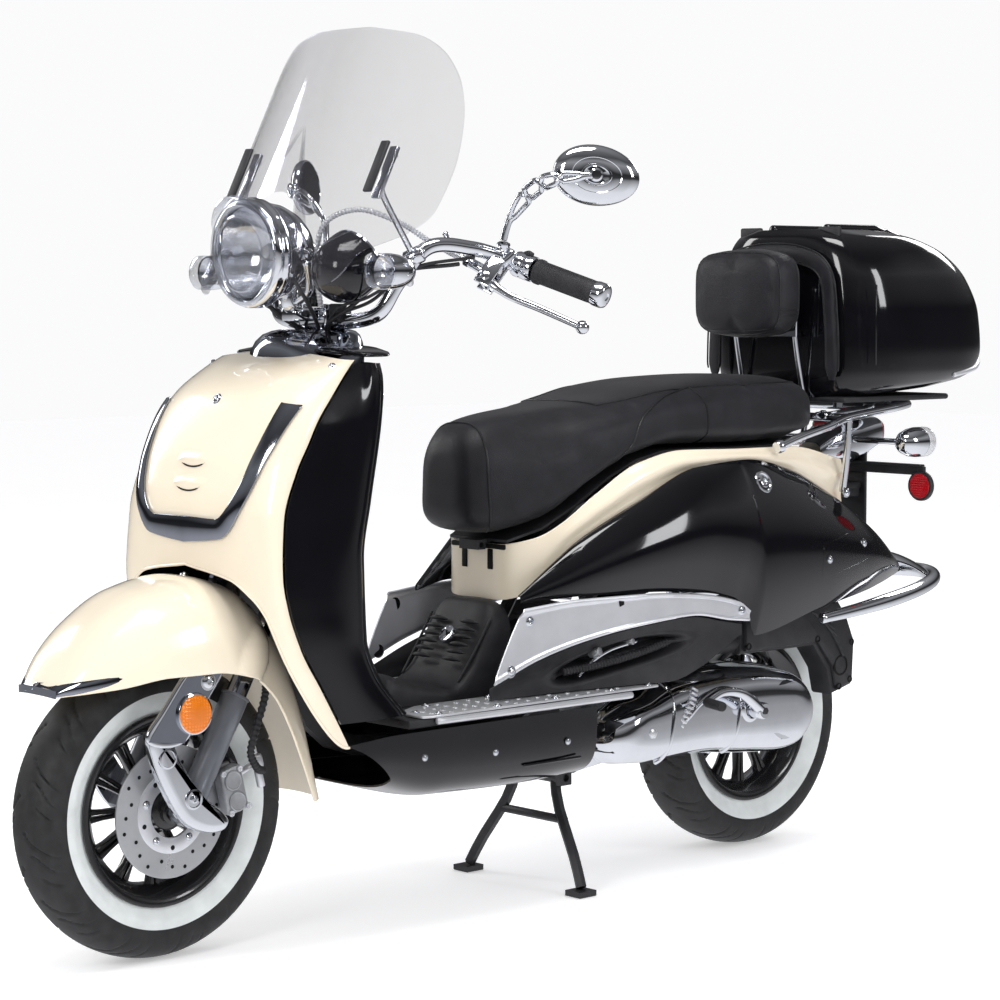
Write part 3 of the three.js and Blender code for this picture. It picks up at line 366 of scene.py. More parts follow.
def prism(outline, x0, x1, r=2.0, smooth=0, axis=0):
    """An outline in the two other axes, as thick as from x0 to x1, with rounded edges."""
    o = np.array(outline, float)
    if smooth:
        o = spline(o, np.linspace(0, 1, smooth, endpoint=False), True)
    area = np.sum(o[:, 0] * np.roll(o[:, 1], -1) - np.roll(o[:, 0], -1) * o[:, 1])
    if area < 0:
        o = o[::-1]
    d = np.roll(o, -1, 0) - np.roll(o, 1, 0)
    d /= np.maximum(np.linalg.norm(d, axis=1, keepdims=True), 1e-9)
    inward = np.stack([-d[:, 1], d[:, 0]], 1)
    rings = []
    for x, k in ((x0, 1), (x0 + 0.3 * r, 0.3), (x0 + r, 0), (x1 - r, 0), (x1 - 0.3 * r, 0.3), (x1, 1)):
        q = o + inward * r * k
        ring = np.insert(q, axis, x, axis=1)
        rings.append(ring)
    return loft(rings)


def bolt(at, axis, r=6.0, h=3.0, washer=True):
    """A domed cap screw with a hollow in its head, standing on a washer."""
    rows = []
    if washer:
        rows += [(r * 1.35, -0.8), (r * 1.35, 0.6), (r * 1.02, 0.9)]
    rows += [(r, 0.9), (r, h * 0.55), (r * 0.8, h * 0.9), (r * 0.5, h), (r * 0.42, h * 0.45), (0, h * 0.4)]
    return lathe([(0, -0.8)] + rows, at, axis, 20)


# ---------- materials ----------
def add_node(tree, kind, **inputs):
    """A new shader node with its inputs set by name, where an underscore stands for a space."""
    node = tree.nodes.new("ShaderNode" + kind)
    for name, value in inputs.items():
        node.inputs[name.replace("_", " ")].default_value = value
    return node


def add_ramp(tree, low, high, start=0.0, stop=1.0):
    node = add_node(tree, "ValToRGB")
    for element, color, position in zip(node.color_ramp.elements, (low, high), (start, stop)):
        element.position = position
        element.color = (*color, 1)
    return node


def material(name, color, rough=0.4, metal=0.0, coat=0.0, vary=(60, 0.05), rough_vary=0.06,
             bumps=((900, 0.02),), specular=0.5, edge=0.0, kind="noise", sheen=0.0, wear_color=None):
    """A principled finish: its colour varies in patches of scale vary[0] by the share vary[1], its
    roughness smears, bumps are (scale, strength), and edge is how far raised edges wear lighter."""
    m = bpy.data.materials.new(name)
    m.use_nodes = True
    t = m.node_tree
    bsdf = t.nodes["Principled BSDF"]
    bsdf.inputs["Metallic"].default_value = metal
    bsdf.inputs["Coat Weight"].default_value = coat
    bsdf.inputs["Coat Roughness"].default_value = 0.03
    bsdf.inputs["Specular IOR Level"].default_value = specular
    bsdf.inputs["Sheen Weight"].default_value = sheen
    place = add_node(t, "TexCoord")
    noise = add_node(t, "TexNoise", Scale=vary[0], Detail=5)
    t.links.new(place.outputs["Object"], noise.inputs["Vector"])
    low = [c * (1 - vary[1]) for c in color]
    high = [min(1, c * (1 + vary[1])) for c in color]
    ramp = add_ramp(t, low, high, 0.3, 0.7)
    t.links.new(noise.outputs["Fac"], ramp.inputs["Fac"])
    last = ramp.outputs["Color"]
    if edge:
        geo = add_node(t, "NewGeometry")
        worn = add_ramp(t, (0, 0, 0), (edge, edge, edge), 0.56, 0.62)
        mix = add_node(t, "Mix")
        mix.data_type = "RGBA"
        t.links.new(geo.outputs["Pointiness"], worn.inputs["Fac"])
        t.links.new(worn.outputs["Color"], mix.inputs["Factor"])
        t.links.new(last, mix.inputs["A"])
        mix.inputs["B"].default_value = (*(wear_color or [min(1, c * 1.5 + 0.05) for c in color]), 1)
        last = mix.outputs["Result"]
    t.links.new(last, bsdf.inputs["Base Color"])
    span = add_node(t, "MapRange", To_Min=max(0.01, rough - rough_vary), To_Max=min(1, rough + rough_vary))
    smear = add_node(t, "TexNoise", Scale=14, Detail=6)
    t.links.new(place.outputs["Object"], smear.inputs["Vector"])
    t.links.new(smear.outputs["Fac"], span.inputs["Value"])
    t.links.new(span.outputs["Result"], bsdf.inputs["Roughness"])
    normal = None
    for scale, strength in bumps:
        if kind == "grain":
            tex = add_node(t, "TexVoronoi", Scale=scale)
            tex.feature = "SMOOTH_F1"
            height = tex.outputs["Distance"]
        else:
            tex = add_node(t, "TexNoise", Scale=scale, Detail=4)
            height = tex.outputs["Fac"]
        bump = add_node(t, "Bump", Strength=strength, Distance=0.001)
        t.links.new(place.outputs["Object"], tex.inputs["Vector"])
        t.links.new(height, bump.inputs["Height"])
        if normal:
            t.links.new(normal, bump.inputs["Normal"])
        normal = bump.outputs["Normal"]
    t.links.new(normal, bsdf.inputs["Normal"])
    return m


def brushed(name, color, rough, stretch, strength=0.12):
    """Metal with fine lines along one direction."""
    m = material(name, color, rough, 0.72, vary=(20, 0.06), bumps=((1200, 0.02),))
    t = m.node_tree
    place = add_node(t, "TexCoord")
    mapping = add_node(t, "Mapping", Scale=stretch)
    lines = add_node(t, "TexNoise", Scale=3, Detail=8)
    bump = add_node(t, "Bump", Strength=strength, Distance=0.0006)
    t.links.new(place.outputs["Object"], mapping.inputs["Vector"])
    t.links.new(mapping.outputs["Vector"], lines.inputs["Vector"])
    t.links.new(lines.outputs["Fac"], bump.inputs["Height"])
    t.links.new(bump.outputs["Normal"], t.nodes["Principled BSDF"].inputs["Normal"])
    return m


def lens(name, color, alpha=None, rough=0.04, ribs=None):
    """A moulded plastic lens; clear ones let the scene through by alpha."""
    m = material(name, color, rough, coat=1.0, bumps=((300, 0.02),), vary=(30, 0.08), rough_vary=0.02)
    t = m.node_tree
    bsdf = t.nodes["Principled BSDF"]
    if alpha is not None:
        # clear sheet: mostly let through, the rest mirrors the room, more of it towards the rim
        bsdf.inputs["Metallic"].default_value = 1.0
        bsdf.inputs["Coat Weight"].default_value = 0.0
        weight = add_node(t, "LayerWeight", Blend=0.3)
        span = add_node(t, "MapRange", To_Min=alpha, To_Max=min(1.0, alpha * 5))
        t.links.new(weight.outputs["Facing"], span.inputs["Value"])
        t.links.new(span.outputs["Result"], bsdf.inputs["Alpha"])
    if ribs:
        place = add_node(t, "TexCoord")
        tex = add_node(t, "TexVoronoi", Scale=ribs, Randomness=0.0)
        tex.distance = "CHEBYCHEV"
        bump = add_node(t, "Bump", Strength=0.9, Distance=0.0015)
        # the colour follows the cells, lighter in their middles and darker at their raised borders: painted
        # highlight and painted shade of the moulded ribs
        ramp = add_ramp(t, [min(1, c * 1.5) for c in color], [c * 0.45 for c in color])
        t.links.new(place.outputs["Object"], tex.inputs["Vector"])
        t.links.new(tex.outputs["Distance"], bump.inputs["Height"])
        t.links.new(bump.outputs["Normal"], bsdf.inputs["Normal"])
        t.links.new(tex.outputs["Distance"], ramp.inputs["Fac"])
        t.links.new(ramp.outputs["Color"], bsdf.inputs["Base Color"])
    return m


CREAM = material("cream_paint", (0.82, 0.725, 0.575), 0.20, coat=1.0, vary=(9, 0.025),
                 bumps=((700, 0.012), (25, 0.01)),
                 rough_vary=0.05, edge=0.25, wear_color=(0.9, 0.85, 0.75))
BLACK = material("black_gloss", (0.0035, 0.0035, 0.005), 0.09, coat=0.45, vary=(12, 0.2),
                 bumps=((900, 0.008), (30, 0.008)), rough_vary=0.03, specular=0.42, edge=0.05)
CHROME = material(
    "chrome", (0.80, 0.82, 0.86), 0.06, 1.0, vary=(25, 0.03), bumps=((500, 0.006),), rough_vary=0.035
)
DARK_CHROME = material(
    "dark_chrome", (0.36, 0.38, 0.43), 0.07, 1.0, vary=(25, 0.05), bumps=((500, 0.006),),
    rough_vary=0.03
)
SILVER = brushed("silver_trim", (0.78, 0.79, 0.83), 0.34, (400, 4, 400), 0.08)
ALUMINIUM = brushed("tread_aluminium", (0.72, 0.73, 0.76), 0.36, (300, 6, 300), 0.12)
MATTE = material("black_plastic", (0.018, 0.018, 0.021), 0.52, vary=(40, 0.25),
                 bumps=((1500, 0.25), (260, 0.08)), rough_vary=0.08,
                 edge=0.3, wear_color=(0.05, 0.05, 0.055))
VINYL = material("vinyl", (0.011, 0.011, 0.0145), 0.44, vary=(30, 0.25), bumps=((900, 0.35), (60, 0.05)),
                 rough_vary=0.07,
                 kind="grain", specular=0.36, sheen=0.05)
PIPING = material("vinyl_piping", (0.012, 0.012, 0.014), 0.35, bumps=((1400, 0.2),), vary=(50, 0.2))
THREAD = material("thread", (0.03, 0.03, 0.034), 0.7, bumps=((2500, 0.4),), vary=(400, 0.3))
RUBBER = material("tyre_rubber", (0.018, 0.018, 0.019), 0.62, vary=(50, 0.3),
                  bumps=((1100, 0.22), (180, 0.06)), rough_vary=0.1,
                  edge=0.25, wear_color=(0.045, 0.045, 0.045))
WHITEWALL = material(
    "whitewall", (0.63, 0.66, 0.66), 0.55, vary=(28, 0.10), bumps=((700, 0.15), (120, 0.06)),
    rough_vary=0.08
)
GRIP = material("grip_rubber", (0.02, 0.02, 0.023), 0.6, bumps=((1300, 0.4),), vary=(60, 0.2))
RIM = material(
    "rim_paint", (0.008, 0.008, 0.009), 0.25, coat=0.7, vary=(30, 0.2), bumps=((800, 0.03),), edge=0.2
)
FORK = material(
    "fork_grey", (0.17, 0.18, 0.205), 0.30, 0.5, coat=0.4, vary=(30, 0.08), bumps=((900, 0.05),)
)
STEEL = material(
    "frame_steel", (0.03, 0.03, 0.033), 0.42, 0.3, vary=(40, 0.2), bumps=((600, 0.08),), edge=0.2
)
CAST = material("cast_metal", (0.48, 0.49, 0.51), 0.45, 0.85, vary=(60, 0.14),
                bumps=((500, 0.35), (90, 0.12)), rough_vary=0.1,
                edge=0.5, wear_color=(0.75, 0.75, 0.76))
DISC = brushed("disc_steel", (0.56, 0.57, 0.59), 0.3, (500, 90, 90), 0.06)
# near black for holes, slots and dial faces; under the vent hoods and inside the duct mouths it is painted
# shade
HOLE = material("deep_black", (0.003, 0.003, 0.003), 0.8, bumps=((400, 0.2),), vary=(40, 0.3))
AMBER = lens("amber_lens", (0.60, 0.15, 0.006), ribs=200)
RED = lens("red_lens", (0.42, 0.006, 0.012), ribs=240)
CLEAR = lens("clear_lens", (0.80, 0.83, 0.90), alpha=0.16)
SCREEN = lens("clear_screen", (0.80, 0.79, 0.88), alpha=0.10, rough=0.03)
MIRROR = material(
    "mirror_glass", (0.88, 0.9, 0.93), 0.015, 1.0, vary=(10, 0.02), bumps=((200, 0.002),),
    rough_vary=0.005
)
BULB = material(
    "reflector_bowl", (0.85, 0.87, 0.92), 0.10, 1.0, vary=(40, 0.05), bumps=((220, 0.25),),
    rough_vary=0.04
)

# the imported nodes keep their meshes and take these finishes
FINISH = {
    "main_frame": STEEL, "fuel_tank": STEEL, "centre_stand": STEEL, "engine_block": CAST, "seat_base": MATTE,
    "starter_button": RED, "steering_stem": DARK_CHROME,
}
for name, finish in FINISH.items():
    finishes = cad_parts[name].data.materials
    finishes.clear()
    finishes.append(finish)

# ---------- camera, light and floor ----------
CAM_AT = metres([3225.9, -2882.7, 953.5])[0]
azimuth, elevation = math.radians(47.6), math.radians(4.36)
camera = bpy.data.objects.new("camera", bpy.data.cameras.new("camera"))
camera.data.lens, camera.data.sensor_width = 99.66, 36
camera.data.clip_start, camera.data.clip_end = 0.1, 60
camera.location = CAM_AT
camera.rotation_euler = (math.pi / 2 - elevation, 0, azimuth)
scene.collection.objects.link(camera)
scene.camera = camera


def area(name, at, target, size, power, color=(1, 1, 1)):
    """A soft rectangular light that faces its target."""
    light = bpy.data.lights.new(name, "AREA")
    light.shape, light.size, light.size_y = "RECTANGLE", size[0], size[1]
    light.energy, light.color = power, color
    obj = bpy.data.objects.new(name, light)
    obj.location = at
    d = np.array(target) - np.array(at)
    obj.rotation_euler = (
        math.atan2(math.hypot(d[0], d[1]), -d[2]), 0, math.atan2(d[1], d[0]) - math.pi / 2,
    )
    scene.collection.objects.link(obj)


area("key_top", (0.6, -0.8, 3.4), (0, 0, 0.5), (1.7, 0.9), 50)
area("key_front", (1.4, -4.2, 2.3), (0, -0.5, 0.7), (0.9, 1.5), 42)
area("side_left", (4.4, 1.5, 2.4), (0, 0.1, 0.6), (0.8, 1.7), 40, (0.97, 0.98, 1))
area("side_right", (-3.8, -1.4, 2.2), (0, -0.1, 0.7), (0.9, 1.8), 36)
area("back", (-0.8, 4.0, 2.6), (0, 0.3, 0.8), (1.8, 0.9), 36)

world = bpy.data.worlds.new("studio")
world.use_nodes = True
scene.world = world
wt = world.node_tree
# what glossy surfaces mirror: grey by height, with a dark horizon and soft bright bands
MIRRORED = [
    (0.0, 0.95), (0.25, 0.85), (0.38, 0.50), (0.46, 0.26), (0.497, 0.04), (0.56, 0.025), (0.60, 0.12),
    (0.70, 0.30), (0.80, 0.08), (1.0, 0.26),
]
coord = add_node(wt, "TexCoord")
parts = add_node(wt, "SeparateXYZ")
remap = add_node(wt, "MapRange", From_Min=-1)
zones = add_node(wt, "ValToRGB")
for k, (pos, v) in enumerate(MIRRORED):
    e = zones.color_ramp.elements[k] if k < 2 else zones.color_ramp.elements.new(pos)
    e.position = pos
    e.color = (v, v, v * 1.04, 1)
mirrored = wt.nodes["Background"]
mirrored.inputs["Strength"].default_value = 1.0
seen = add_node(wt, "Background", Color=(0.965, 0.965, 0.972, 1))
soft = add_node(wt, "Background", Color=(0.80, 0.80, 0.81, 1))
ray = add_node(wt, "LightPath")
diffuse_or_not = add_node(wt, "MixShader")
seen_or_not = add_node(wt, "MixShader")
for start, end in (
    (coord.outputs["Generated"], parts.inputs["Vector"]), (parts.outputs["Z"], remap.inputs["Value"]),
    (remap.outputs["Result"], zones.inputs["Fac"]), (zones.outputs["Color"], mirrored.inputs["Color"]),
    (ray.outputs["Is Diffuse Ray"], diffuse_or_not.inputs["Fac"]),
    (mirrored.outputs["Background"], diffuse_or_not.inputs[1]),
    (soft.outputs["Background"], diffuse_or_not.inputs[2]),
    (ray.outputs["Is Camera Ray"], seen_or_not.inputs["Fac"]),
    (diffuse_or_not.outputs["Shader"], seen_or_not.inputs[1]),
    (seen.outputs["Background"], seen_or_not.inputs[2]),
    (seen_or_not.outputs["Shader"], wt.nodes["World Output"].inputs["Surface"]),
):
    wt.links.new(start, end)
scene.view_settings.view_transform = "Standard"

floor_mesh = bpy.data.meshes.new("floor")
floor_mesh.from_pydata(
    [(-14, -14, -0.001), (14, -14, -0.001), (14, 14, -0.001), (-14, 14, -0.001)], [], [(0, 1, 2, 3)]
)
floor = bpy.data.objects.new("floor", floor_mesh)
scene.collection.objects.link(floor)
PALE = material("pale_floor", (0.93, 0.93, 0.935), 0.55, vary=(3, 0.01), bumps=((60, 0.02),), specular=0.2)
pale_shader = PALE.node_tree.nodes["Principled BSDF"]
pale_shader.inputs["Emission Color"].default_value = (1, 1, 1, 1)
pale_shader.inputs["Emission Strength"].default_value = 0.345
floor_mesh.materials.append(PALE)
floor.visible_glossy = False

# ---------- front bodywork ----------
SHIELD = [
    # z, nose y, edge x, edge y
    (300, -500, 190, -402), (327, -510, 190, -417), (388, -530, 190, -453), (448, -540, 190, -489),
    (503, -546, 187, -508), (548, -549, 184, -515), (632, -549, 178, -508), (700, -535, 175, -482),
    (734, -523, 174, -462), (769, -506, 172, -441), (801, -485, 166, -412), (840, -425, 155, -372),
    (862, -372, 148, -345),
]
ARCH = [(0, 560), (0.55, 545), (0.78, 520), (0.88, 495), (0.93, 448), (0.96, 395), (0.985, 335), (1, 300)]


def shield_at(across, z, off=0.0):
    """A point on the shield's face; off lifts it from the face."""
    row = track(SHIELD, z)
    depth = (1 - np.abs(across) ** 2.6) ** (1 / 2.6)
    return stack(row[..., 1] * across, lerp(row[..., 2], row[..., 0], depth) - off, z)


def shield_surface(u, v):
    ang = math.pi * u
    across = squarish(np.cos(ang), 2.6)
    top = 862 - 10 * across**2
    return shield_at(across, top + (track(ARCH, np.abs(across))[..., 0] - top) * v)


u, v = uv(112, 72)
p = shield_surface(u, v)
# two hooded vents pressed into the face, and a rolled edge round the arch
VENTS = (716, 682)
for zc in VENTS:
    d = np.clip(1 - (p[..., 0] / 34) ** 2, 0, 1) ** 0.6
    below = (zc - p[..., 2]) / 15
    hood = np.where((below > 0) & (below < 1), (1 - below) * np.clip(below * 6, 0, 1), 0)
    p[..., 1] -= 7.0 * d * hood
shield = Shape().add(*plate(p, 3))
rim = p[-1]
shield.add(*tube(rim, 2.2, m=10, smooth=False))
shield.make("shield_shell", "chassis", [CREAM], ["front_shield"], sharp=60, slot="cream_paint")

# near-black strips under the vent hoods: painted shade where the hoods overhang the face
vent_shade = Shape()
for zc in VENTS:
    x = np.linspace(-30, 30, 31)
    lower = shield_at(x / 176, np.full(31, zc - 15.2), 0.5)
    drop = 13.5 * (1 - np.clip(1 - (x / 31) ** 2, 0, 1) ** 0.5)
    edge = shield_at(x / 176, zc - 15.2 + drop * 0.9, 0.4)
    under = shield_at(x / 176, zc - 17.5 + drop * 0.9, 0.4)
    vent_shade.add(*plate(np.array([edge, under]), 0.6))
vent_shade.make("vent_shadow", "chassis", [HOLE])

shield_screws = Shape()
shield_screws.add(*bolt(shield_at(np.array(0.0), np.array(795.0)), (0, -0.86, 0.5), 6.5, 4.0))
for side in (-1, 1):
    q = shield_at(np.array(0.93 * side), np.array(844.0))
    shield_screws.add(*bolt(q, (side * 0.5, -0.5, 0.7), 4, 2.6))
shield_screws.make("shield_screws", "chassis", [CHROME])

GARNISH = [(0, 611, 0), (0.35, 615, 0.44), (0.6, 664, 0.68), (0.8, 724, 0.78), (1, 793, 0.86)]


def garnish_surface(u, v):
    s = 2 * u - 1
    row = track(GARNISH, np.abs(s))
    width = 19 + (3.2 - 19) * s * s
    z = row[..., 0] + (v - 0.5) * 2 * width * (1 - 0.45 * np.abs(s))
    xx = row[..., 1] + (v - 0.5) * -0.16 * np.abs(s)
    r = track(SHIELD, z)
    depth = (1 - np.abs(xx) ** 2.6) ** (1 / 2.6)
    crown = 2.6 * np.sin(np.pi * np.clip(v, 0, 1))
    return stack(
        (r[..., 1] + 4 * xx) * xx * np.sign(s),
        r[..., 2] + (r[..., 0] - r[..., 2]) * depth - 4.4 - crown, z
    )


u, v = uv(120, 14)
garnish = Shape().add(*plate(garnish_surface(u, v), 3.2))
garnish.make(
    "shield_u_trim", "chassis", [DARK_CHROME], ["shield_garnish"], sharp=60, bevel=0.9, slot="chrome"
)

LEG_SHIELD = [
    (336, 190, -292, -246), (400, 188, -345, -304), (452, 187, -364, -330), (568, 185, -367, -337),
    (652, 181, -350, -322), (764, 175, -325, -290), (826, 166, -315, -268), (846, 158, -314, -262),
]


def leg_section(z, n):
    """The leg shield's outline at a height, from one edge round to the other."""
    lip_x, lip_y, mid_y = track(LEG_SHIELD, z)
    _, x, y = track(SHIELD, z)
    half = [
        (x + 0.5, y + 3), (x + 4, lerp(y, lip_y, 0.5)), (lip_x + 1, lip_y - 24), (lip_x - 7, lip_y),
        (lip_x - 40, lerp(lip_y, mid_y, 0.3)), (lip_x - 96, lerp(lip_y, mid_y, 0.85)),
    ]
    pts = half + [(0, mid_y)] + [(-a, b) for a, b in half[::-1]]
    return spline([(a, b, z) for a, b in pts], np.linspace(0, 1, n + 1))


p = np.array([leg_section(z, 132) for z in np.linspace(846, 336, 60)])
# the rolled lip: a raised bead with a groove beside it along both edges
u = np.linspace(0, 1, 133)
out = np.abs(2 * u - 1)
bead = 2.4 * np.exp(-(((out - 0.535) / 0.018) ** 2)) - 1.6 * np.exp(-(((out - 0.60) / 0.014) ** 2))
p += normals_of(p) * bead[None, :, None]
leg = Shape().add(*plate(p, 3))
leg.make("leg_shield_shell", "chassis", [BLACK], ["leg_shield"], sharp=60, slot="black_gloss")

screws = Shape()
for x, z in ((150, 800), (158, 420)):
    sec = track(LEG_SHIELD, z)
    q = (x, sec[1] + (sec[2] - sec[1]) * 0.25 + 1.5, z)
    screws.add(*bolt(q, (0.1, 1, 0.1), 4.5, 2.4))
screws.also_mirrored()
for yb, zb in ((-120, 262), (30, 262), (-260, 270)):
    for s in (-1, 1):
        screws.add(*bolt((s * 190.6, yb, zb), (s, 0, 0), 4.2, 2.6))
screws.make("panel_screws", "chassis", [CHROME])


def collar_ring(z, half, front, back, tilt, n=72):
    """One level of the collar on top of the shield."""
    a = turns(n)
    across, along = squarish(np.cos(a), 3), squarish(np.sin(a), 3)
    return stack(half * across, back + (front - back) * (along + 1) / 2, z + tilt * across**2)


collar = Shape()
# a black cap closes the top of the shield, and a narrower bright collar stands on it
collar.add(*loft([
    collar_ring(863.5, 149, -372, -258, -8), collar_ring(865, 150, -373, -257, -8),
    collar_ring(868, 147, -371, -257, -8),
    collar_ring(871, 120, -362, -257, -6), collar_ring(872, 60, -326, -272, -1),
]), 1)
collar.add(*loft([
    collar_ring(852, 88, -391, -262, -10), collar_ring(853, 90, -393, -260, -10),
    collar_ring(866, 88, -391, -258, -9),
    collar_ring(880, 82, -384, -258, -7), collar_ring(889, 74, -374, -259, -5),
    collar_ring(893, 63, -362, -261, -3),
    collar_ring(894, 54, -352, -265, -1),
]))
collar.add(*lathe([(24, -2), (27, 0), (27, 4), (24, 6), (16, 7)], (0, -289, 884), HEAD_AXIS, 36))
collar.make("collar_shell", "chassis", [DARK_CHROME, BLACK], ["shield_collar"], sharp=45, slot="chrome")

# ---------- front mudguard ----------
FENDER = [
    # share from the front tip, crest y, crest z, edge y, edge z, half width
    (0.0, -803, 400, -800, 396, 40), (0.1, -763, 456, -766, 402, 72), (0.22, -713, 498, -722, 408, 96),
    (0.36, -650, 531, -655, 418, 113), (0.5, -580, 544, -583, 418, 118), (0.62, -520, 532, -520, 406, 116),
    (0.72, -465, 495, -474, 376, 104), (0.82, -415, 420, -428, 320, 86), (0.91, -378, 330, -396, 268, 72),
    (1.0, -346, 205, -360, 200, 58),
]


def fender_surface(u, v):
    row = track(FENDER, v)
    k = squarish(np.sin(np.pi * u), 2.5)
    across = squarish(np.cos(np.pi * u), 2.5)
    y = lerp(row[..., 2], row[..., 0], k)
    return stack(row[..., 4] * across, y, lerp(row[..., 3], row[..., 1], k))


u, v = uv(88, 110)
p = fender_surface(u, v)
n = normals_of(p)
n *= np.where(np.sum(n * (p - [0, -600, 380]), -1, keepdims=True) < 0, -1, 1)
# a teardrop pod on each side round the fork bolt
ax = np.array([math.sin(LEG_RAKE), math.cos(LEG_RAKE)])
rel_y, rel_z = p[..., 1] + 509, p[..., 2] - 436
s = rel_y * ax[0] + rel_z * ax[1]
t = rel_y * ax[1] - rel_z * ax[0]
width = np.where(s > 0, 26 - 0.32 * s, 26 + 0.10 * s)
pod = np.clip(
    1 - (t / np.maximum(width, 3)) ** 2, 0, 1
) ** 0.7 * np.clip((42 - s) / 22, 0, 1) ** 0.7 * np.clip((s + 62) / 18, 0, 1)
pod *= np.clip((np.abs(p[..., 0]) - 70) / 14, 0, 1)
p = p + n * (9 * pod)[..., None]
fender = Shape().add(*plate(p, 3))
for side in (p[:, 0], p[:, -1]):
    fender.add(*tube(side, 1.9, m=8, smooth=False))
fender.make("fender_shell", "steering", [CREAM], ["front_fender"], sharp=60, slot="cream_paint")

# dark chrome band along the front edge, rising to a point on each side
band = Shape()


def fender_side(z_up, v, lift, side):
    """Points up the fender's side from its edge, by height above the edge."""
    row = track(FENDER, v)
    k = np.clip(z_up / (row[..., 1] - row[..., 3]), 0, 1)
    sin_u = k ** (2.5 / 2)
    across = np.clip(1 - sin_u**2, 0, 1) ** (1 / 2.5)
    y = row[..., 2] + (row[..., 0] - row[..., 2]) * k
    return stack(
        side * (row[..., 4] * across + lift * 0.6), y - lift * np.clip(1 - v / 0.3, 0, 1),
        row[..., 3] + z_up
    )


vv = np.linspace(0.0, 0.60, 70)
height = track(
    [(0, 15), (0.12, 20), (0.25, 30), (0.36, 42), (0.41, 43), (0.48, 27), (0.60, 1.5)], vv
)[..., 0]
for side in (1, -1):
    rows = [fender_side(
        height * k, vv, 3.0 + 1.5 * math.sin(math.pi * k), side
    ) for k in np.linspace(0, 1, 9)]
    band.add(*plate(np.array(rows)[:: 1 if side > 0 else -1], 2.4))
ang = np.linspace(0, math.pi, 40)
front = np.array([
    stack(
        40 * np.cos(ang) * 1.09, -800 - 5 * np.sin(ang) + 0 * ang, 394 + h + 3 * np.sin(ang)
    ) for h in np.linspace(0, 11, 6)
])
band.add(*plate(front, 2.4))
band.make("fender_band", "steering", [DARK_CHROME], sharp=50, slot="chrome")

fender_bolts = Shape()
fender_bolts.add(*bolt((114.5, -505, 432), (1, 0.1, 0.1), 7, 4.5))
fender_bolts.also_mirrored()
fender_bolts.add(*bolt((0, -552, 545), (0, -0.3, 1), 5, 3))
fender_bolts.make("fender_bolts", "steering", [CHROME])

# ---------- wheels ----------
def tread_depth(arc, x, half):
    """Depth of the swept grooves at an arc length and a place across the tread."""
    pitch = 2 * math.pi * TYRE_R / 13
    depth = np.zeros(np.broadcast(arc, x).shape)
    k = np.abs(x) / half
    side = np.where(x >= 0, 0.5, 0.0)
    for start, sweep, k0, k1, w in (
        (0.0, 0.95, 0.08, 1.02, 2.5), (0.36, 0.62, 0.34, 0.98, 2.2), (0.62, 0.42, 0.55, 0.95, 2.0),
    ):
        centre = start + side + sweep * (0.62 * k**1.6 + 0.10 * np.sin(4.4 * k + start * 6))
        d = np.abs((arc / pitch - centre + 0.5) % 1 - 0.5) * pitch
        mask = np.clip((k - k0) / 0.05, 0, 1) * np.clip((k1 - k) / 0.05, 0, 1)
        depth = np.maximum(depth, np.clip(1 - (d / w) ** 4, 0, 1) * mask)
    return depth * 3.4


def tyre(name, y, half, body, node):
    s = Shape()
    outer = [(128.5, 29), (134, 31.5), (141, 33.5), (149, 38.5), (157, 43), (168, half - 2.4),
             (180, half), (191, half - 1.5),
             (200, half * 0.89), (207, half * 0.75), (212, half * 0.54), (215, half * 0.30), (216, 0)]
    ring = np.array(outer + [(r, -a) for r, a in outer[-2::-1]])
    t = np.linspace(0, 1, len(ring))
    rows = 84
    fine = np.stack([np.interp(np.linspace(0, 1, rows + 1), t, ring[:, i]) for i in (0, 1)], 1)
    for _ in range(2):
        fine[1:-1] = (fine[:-2] + 2 * fine[1:-1] + fine[2:]) / 4
    n = 640
    ang = turns(n)
    r = np.repeat(fine[:, :1], n, 1)
    x = np.repeat(fine[:, 1:], n, 1)
    tread = np.clip((fine[:, 0] - 178) / 6, 0, 1)[:, None]
    cut = tread_depth((ang * TYRE_R)[None, :], x, half * 1.02) * tread
    r = r - cut
    # a fine raised rib each side of the white band
    x = x + np.sign(x) * (0.9 * np.exp(-((fine[:, :1] - 174) / 1.6) ** 2) + 0.7 * np.exp(-((fine[:,
    :1] - 135) / 1.5) ** 2))
    pts = stack(x, y + r * np.cos(ang), TYRE_R + r * np.sin(ang))
    faces = grid_faces(n, rows, True)
    white = (fine[:-1, 0] > 134.5) & (fine[:-1, 0] < 172) & (fine[1:, 0] > 134.5) & (fine[1:, 0] < 172)
    mats = np.repeat(np.where(white, 1, 0), n).tolist()
    # the inside, so that the tyre is one closed ring
    inner = [
        (128.5, -23), (150, -33), (178, 8 - half), (196, -half * 0.76), (208, 0), (196, half * 0.76),
        (178, half - 8), (150, 33), (128.5, 23)
    ]
    ri = np.array(inner)
    lining = stack(ri[:, 1:], y + ri[:, :1] * np.cos(ang), TYRE_R + ri[:, :1] * np.sin(ang))
    count = (rows + 1) * n
    faces += grid_faces(n, len(inner) - 1, True, count)
    faces += [[rows * n + i, rows * n + (i + 1) % n, count + (i + 1) % n, count + i] for i in range(n)]
    last = count + (len(inner) - 1) * n
    faces += [[last + i, last + (i + 1) % n, (i + 1) % n, i] for i in range(n)]
    mats += [0] * (len(faces) - len(mats))
    s.add(np.vstack([pts.reshape(-1, 3), lining.reshape(-1, 3)]), faces, mats)
    s.make(name, body, [RUBBER, WHITEWALL], [node], sharp=50, slot="tyre")


tyre("tyre_front", AXLE_F, 47, "front_wheel", "front_tyre")
tyre("tyre_rear", AXLE_R, 52, "rear_wheel", "rear_tyre")


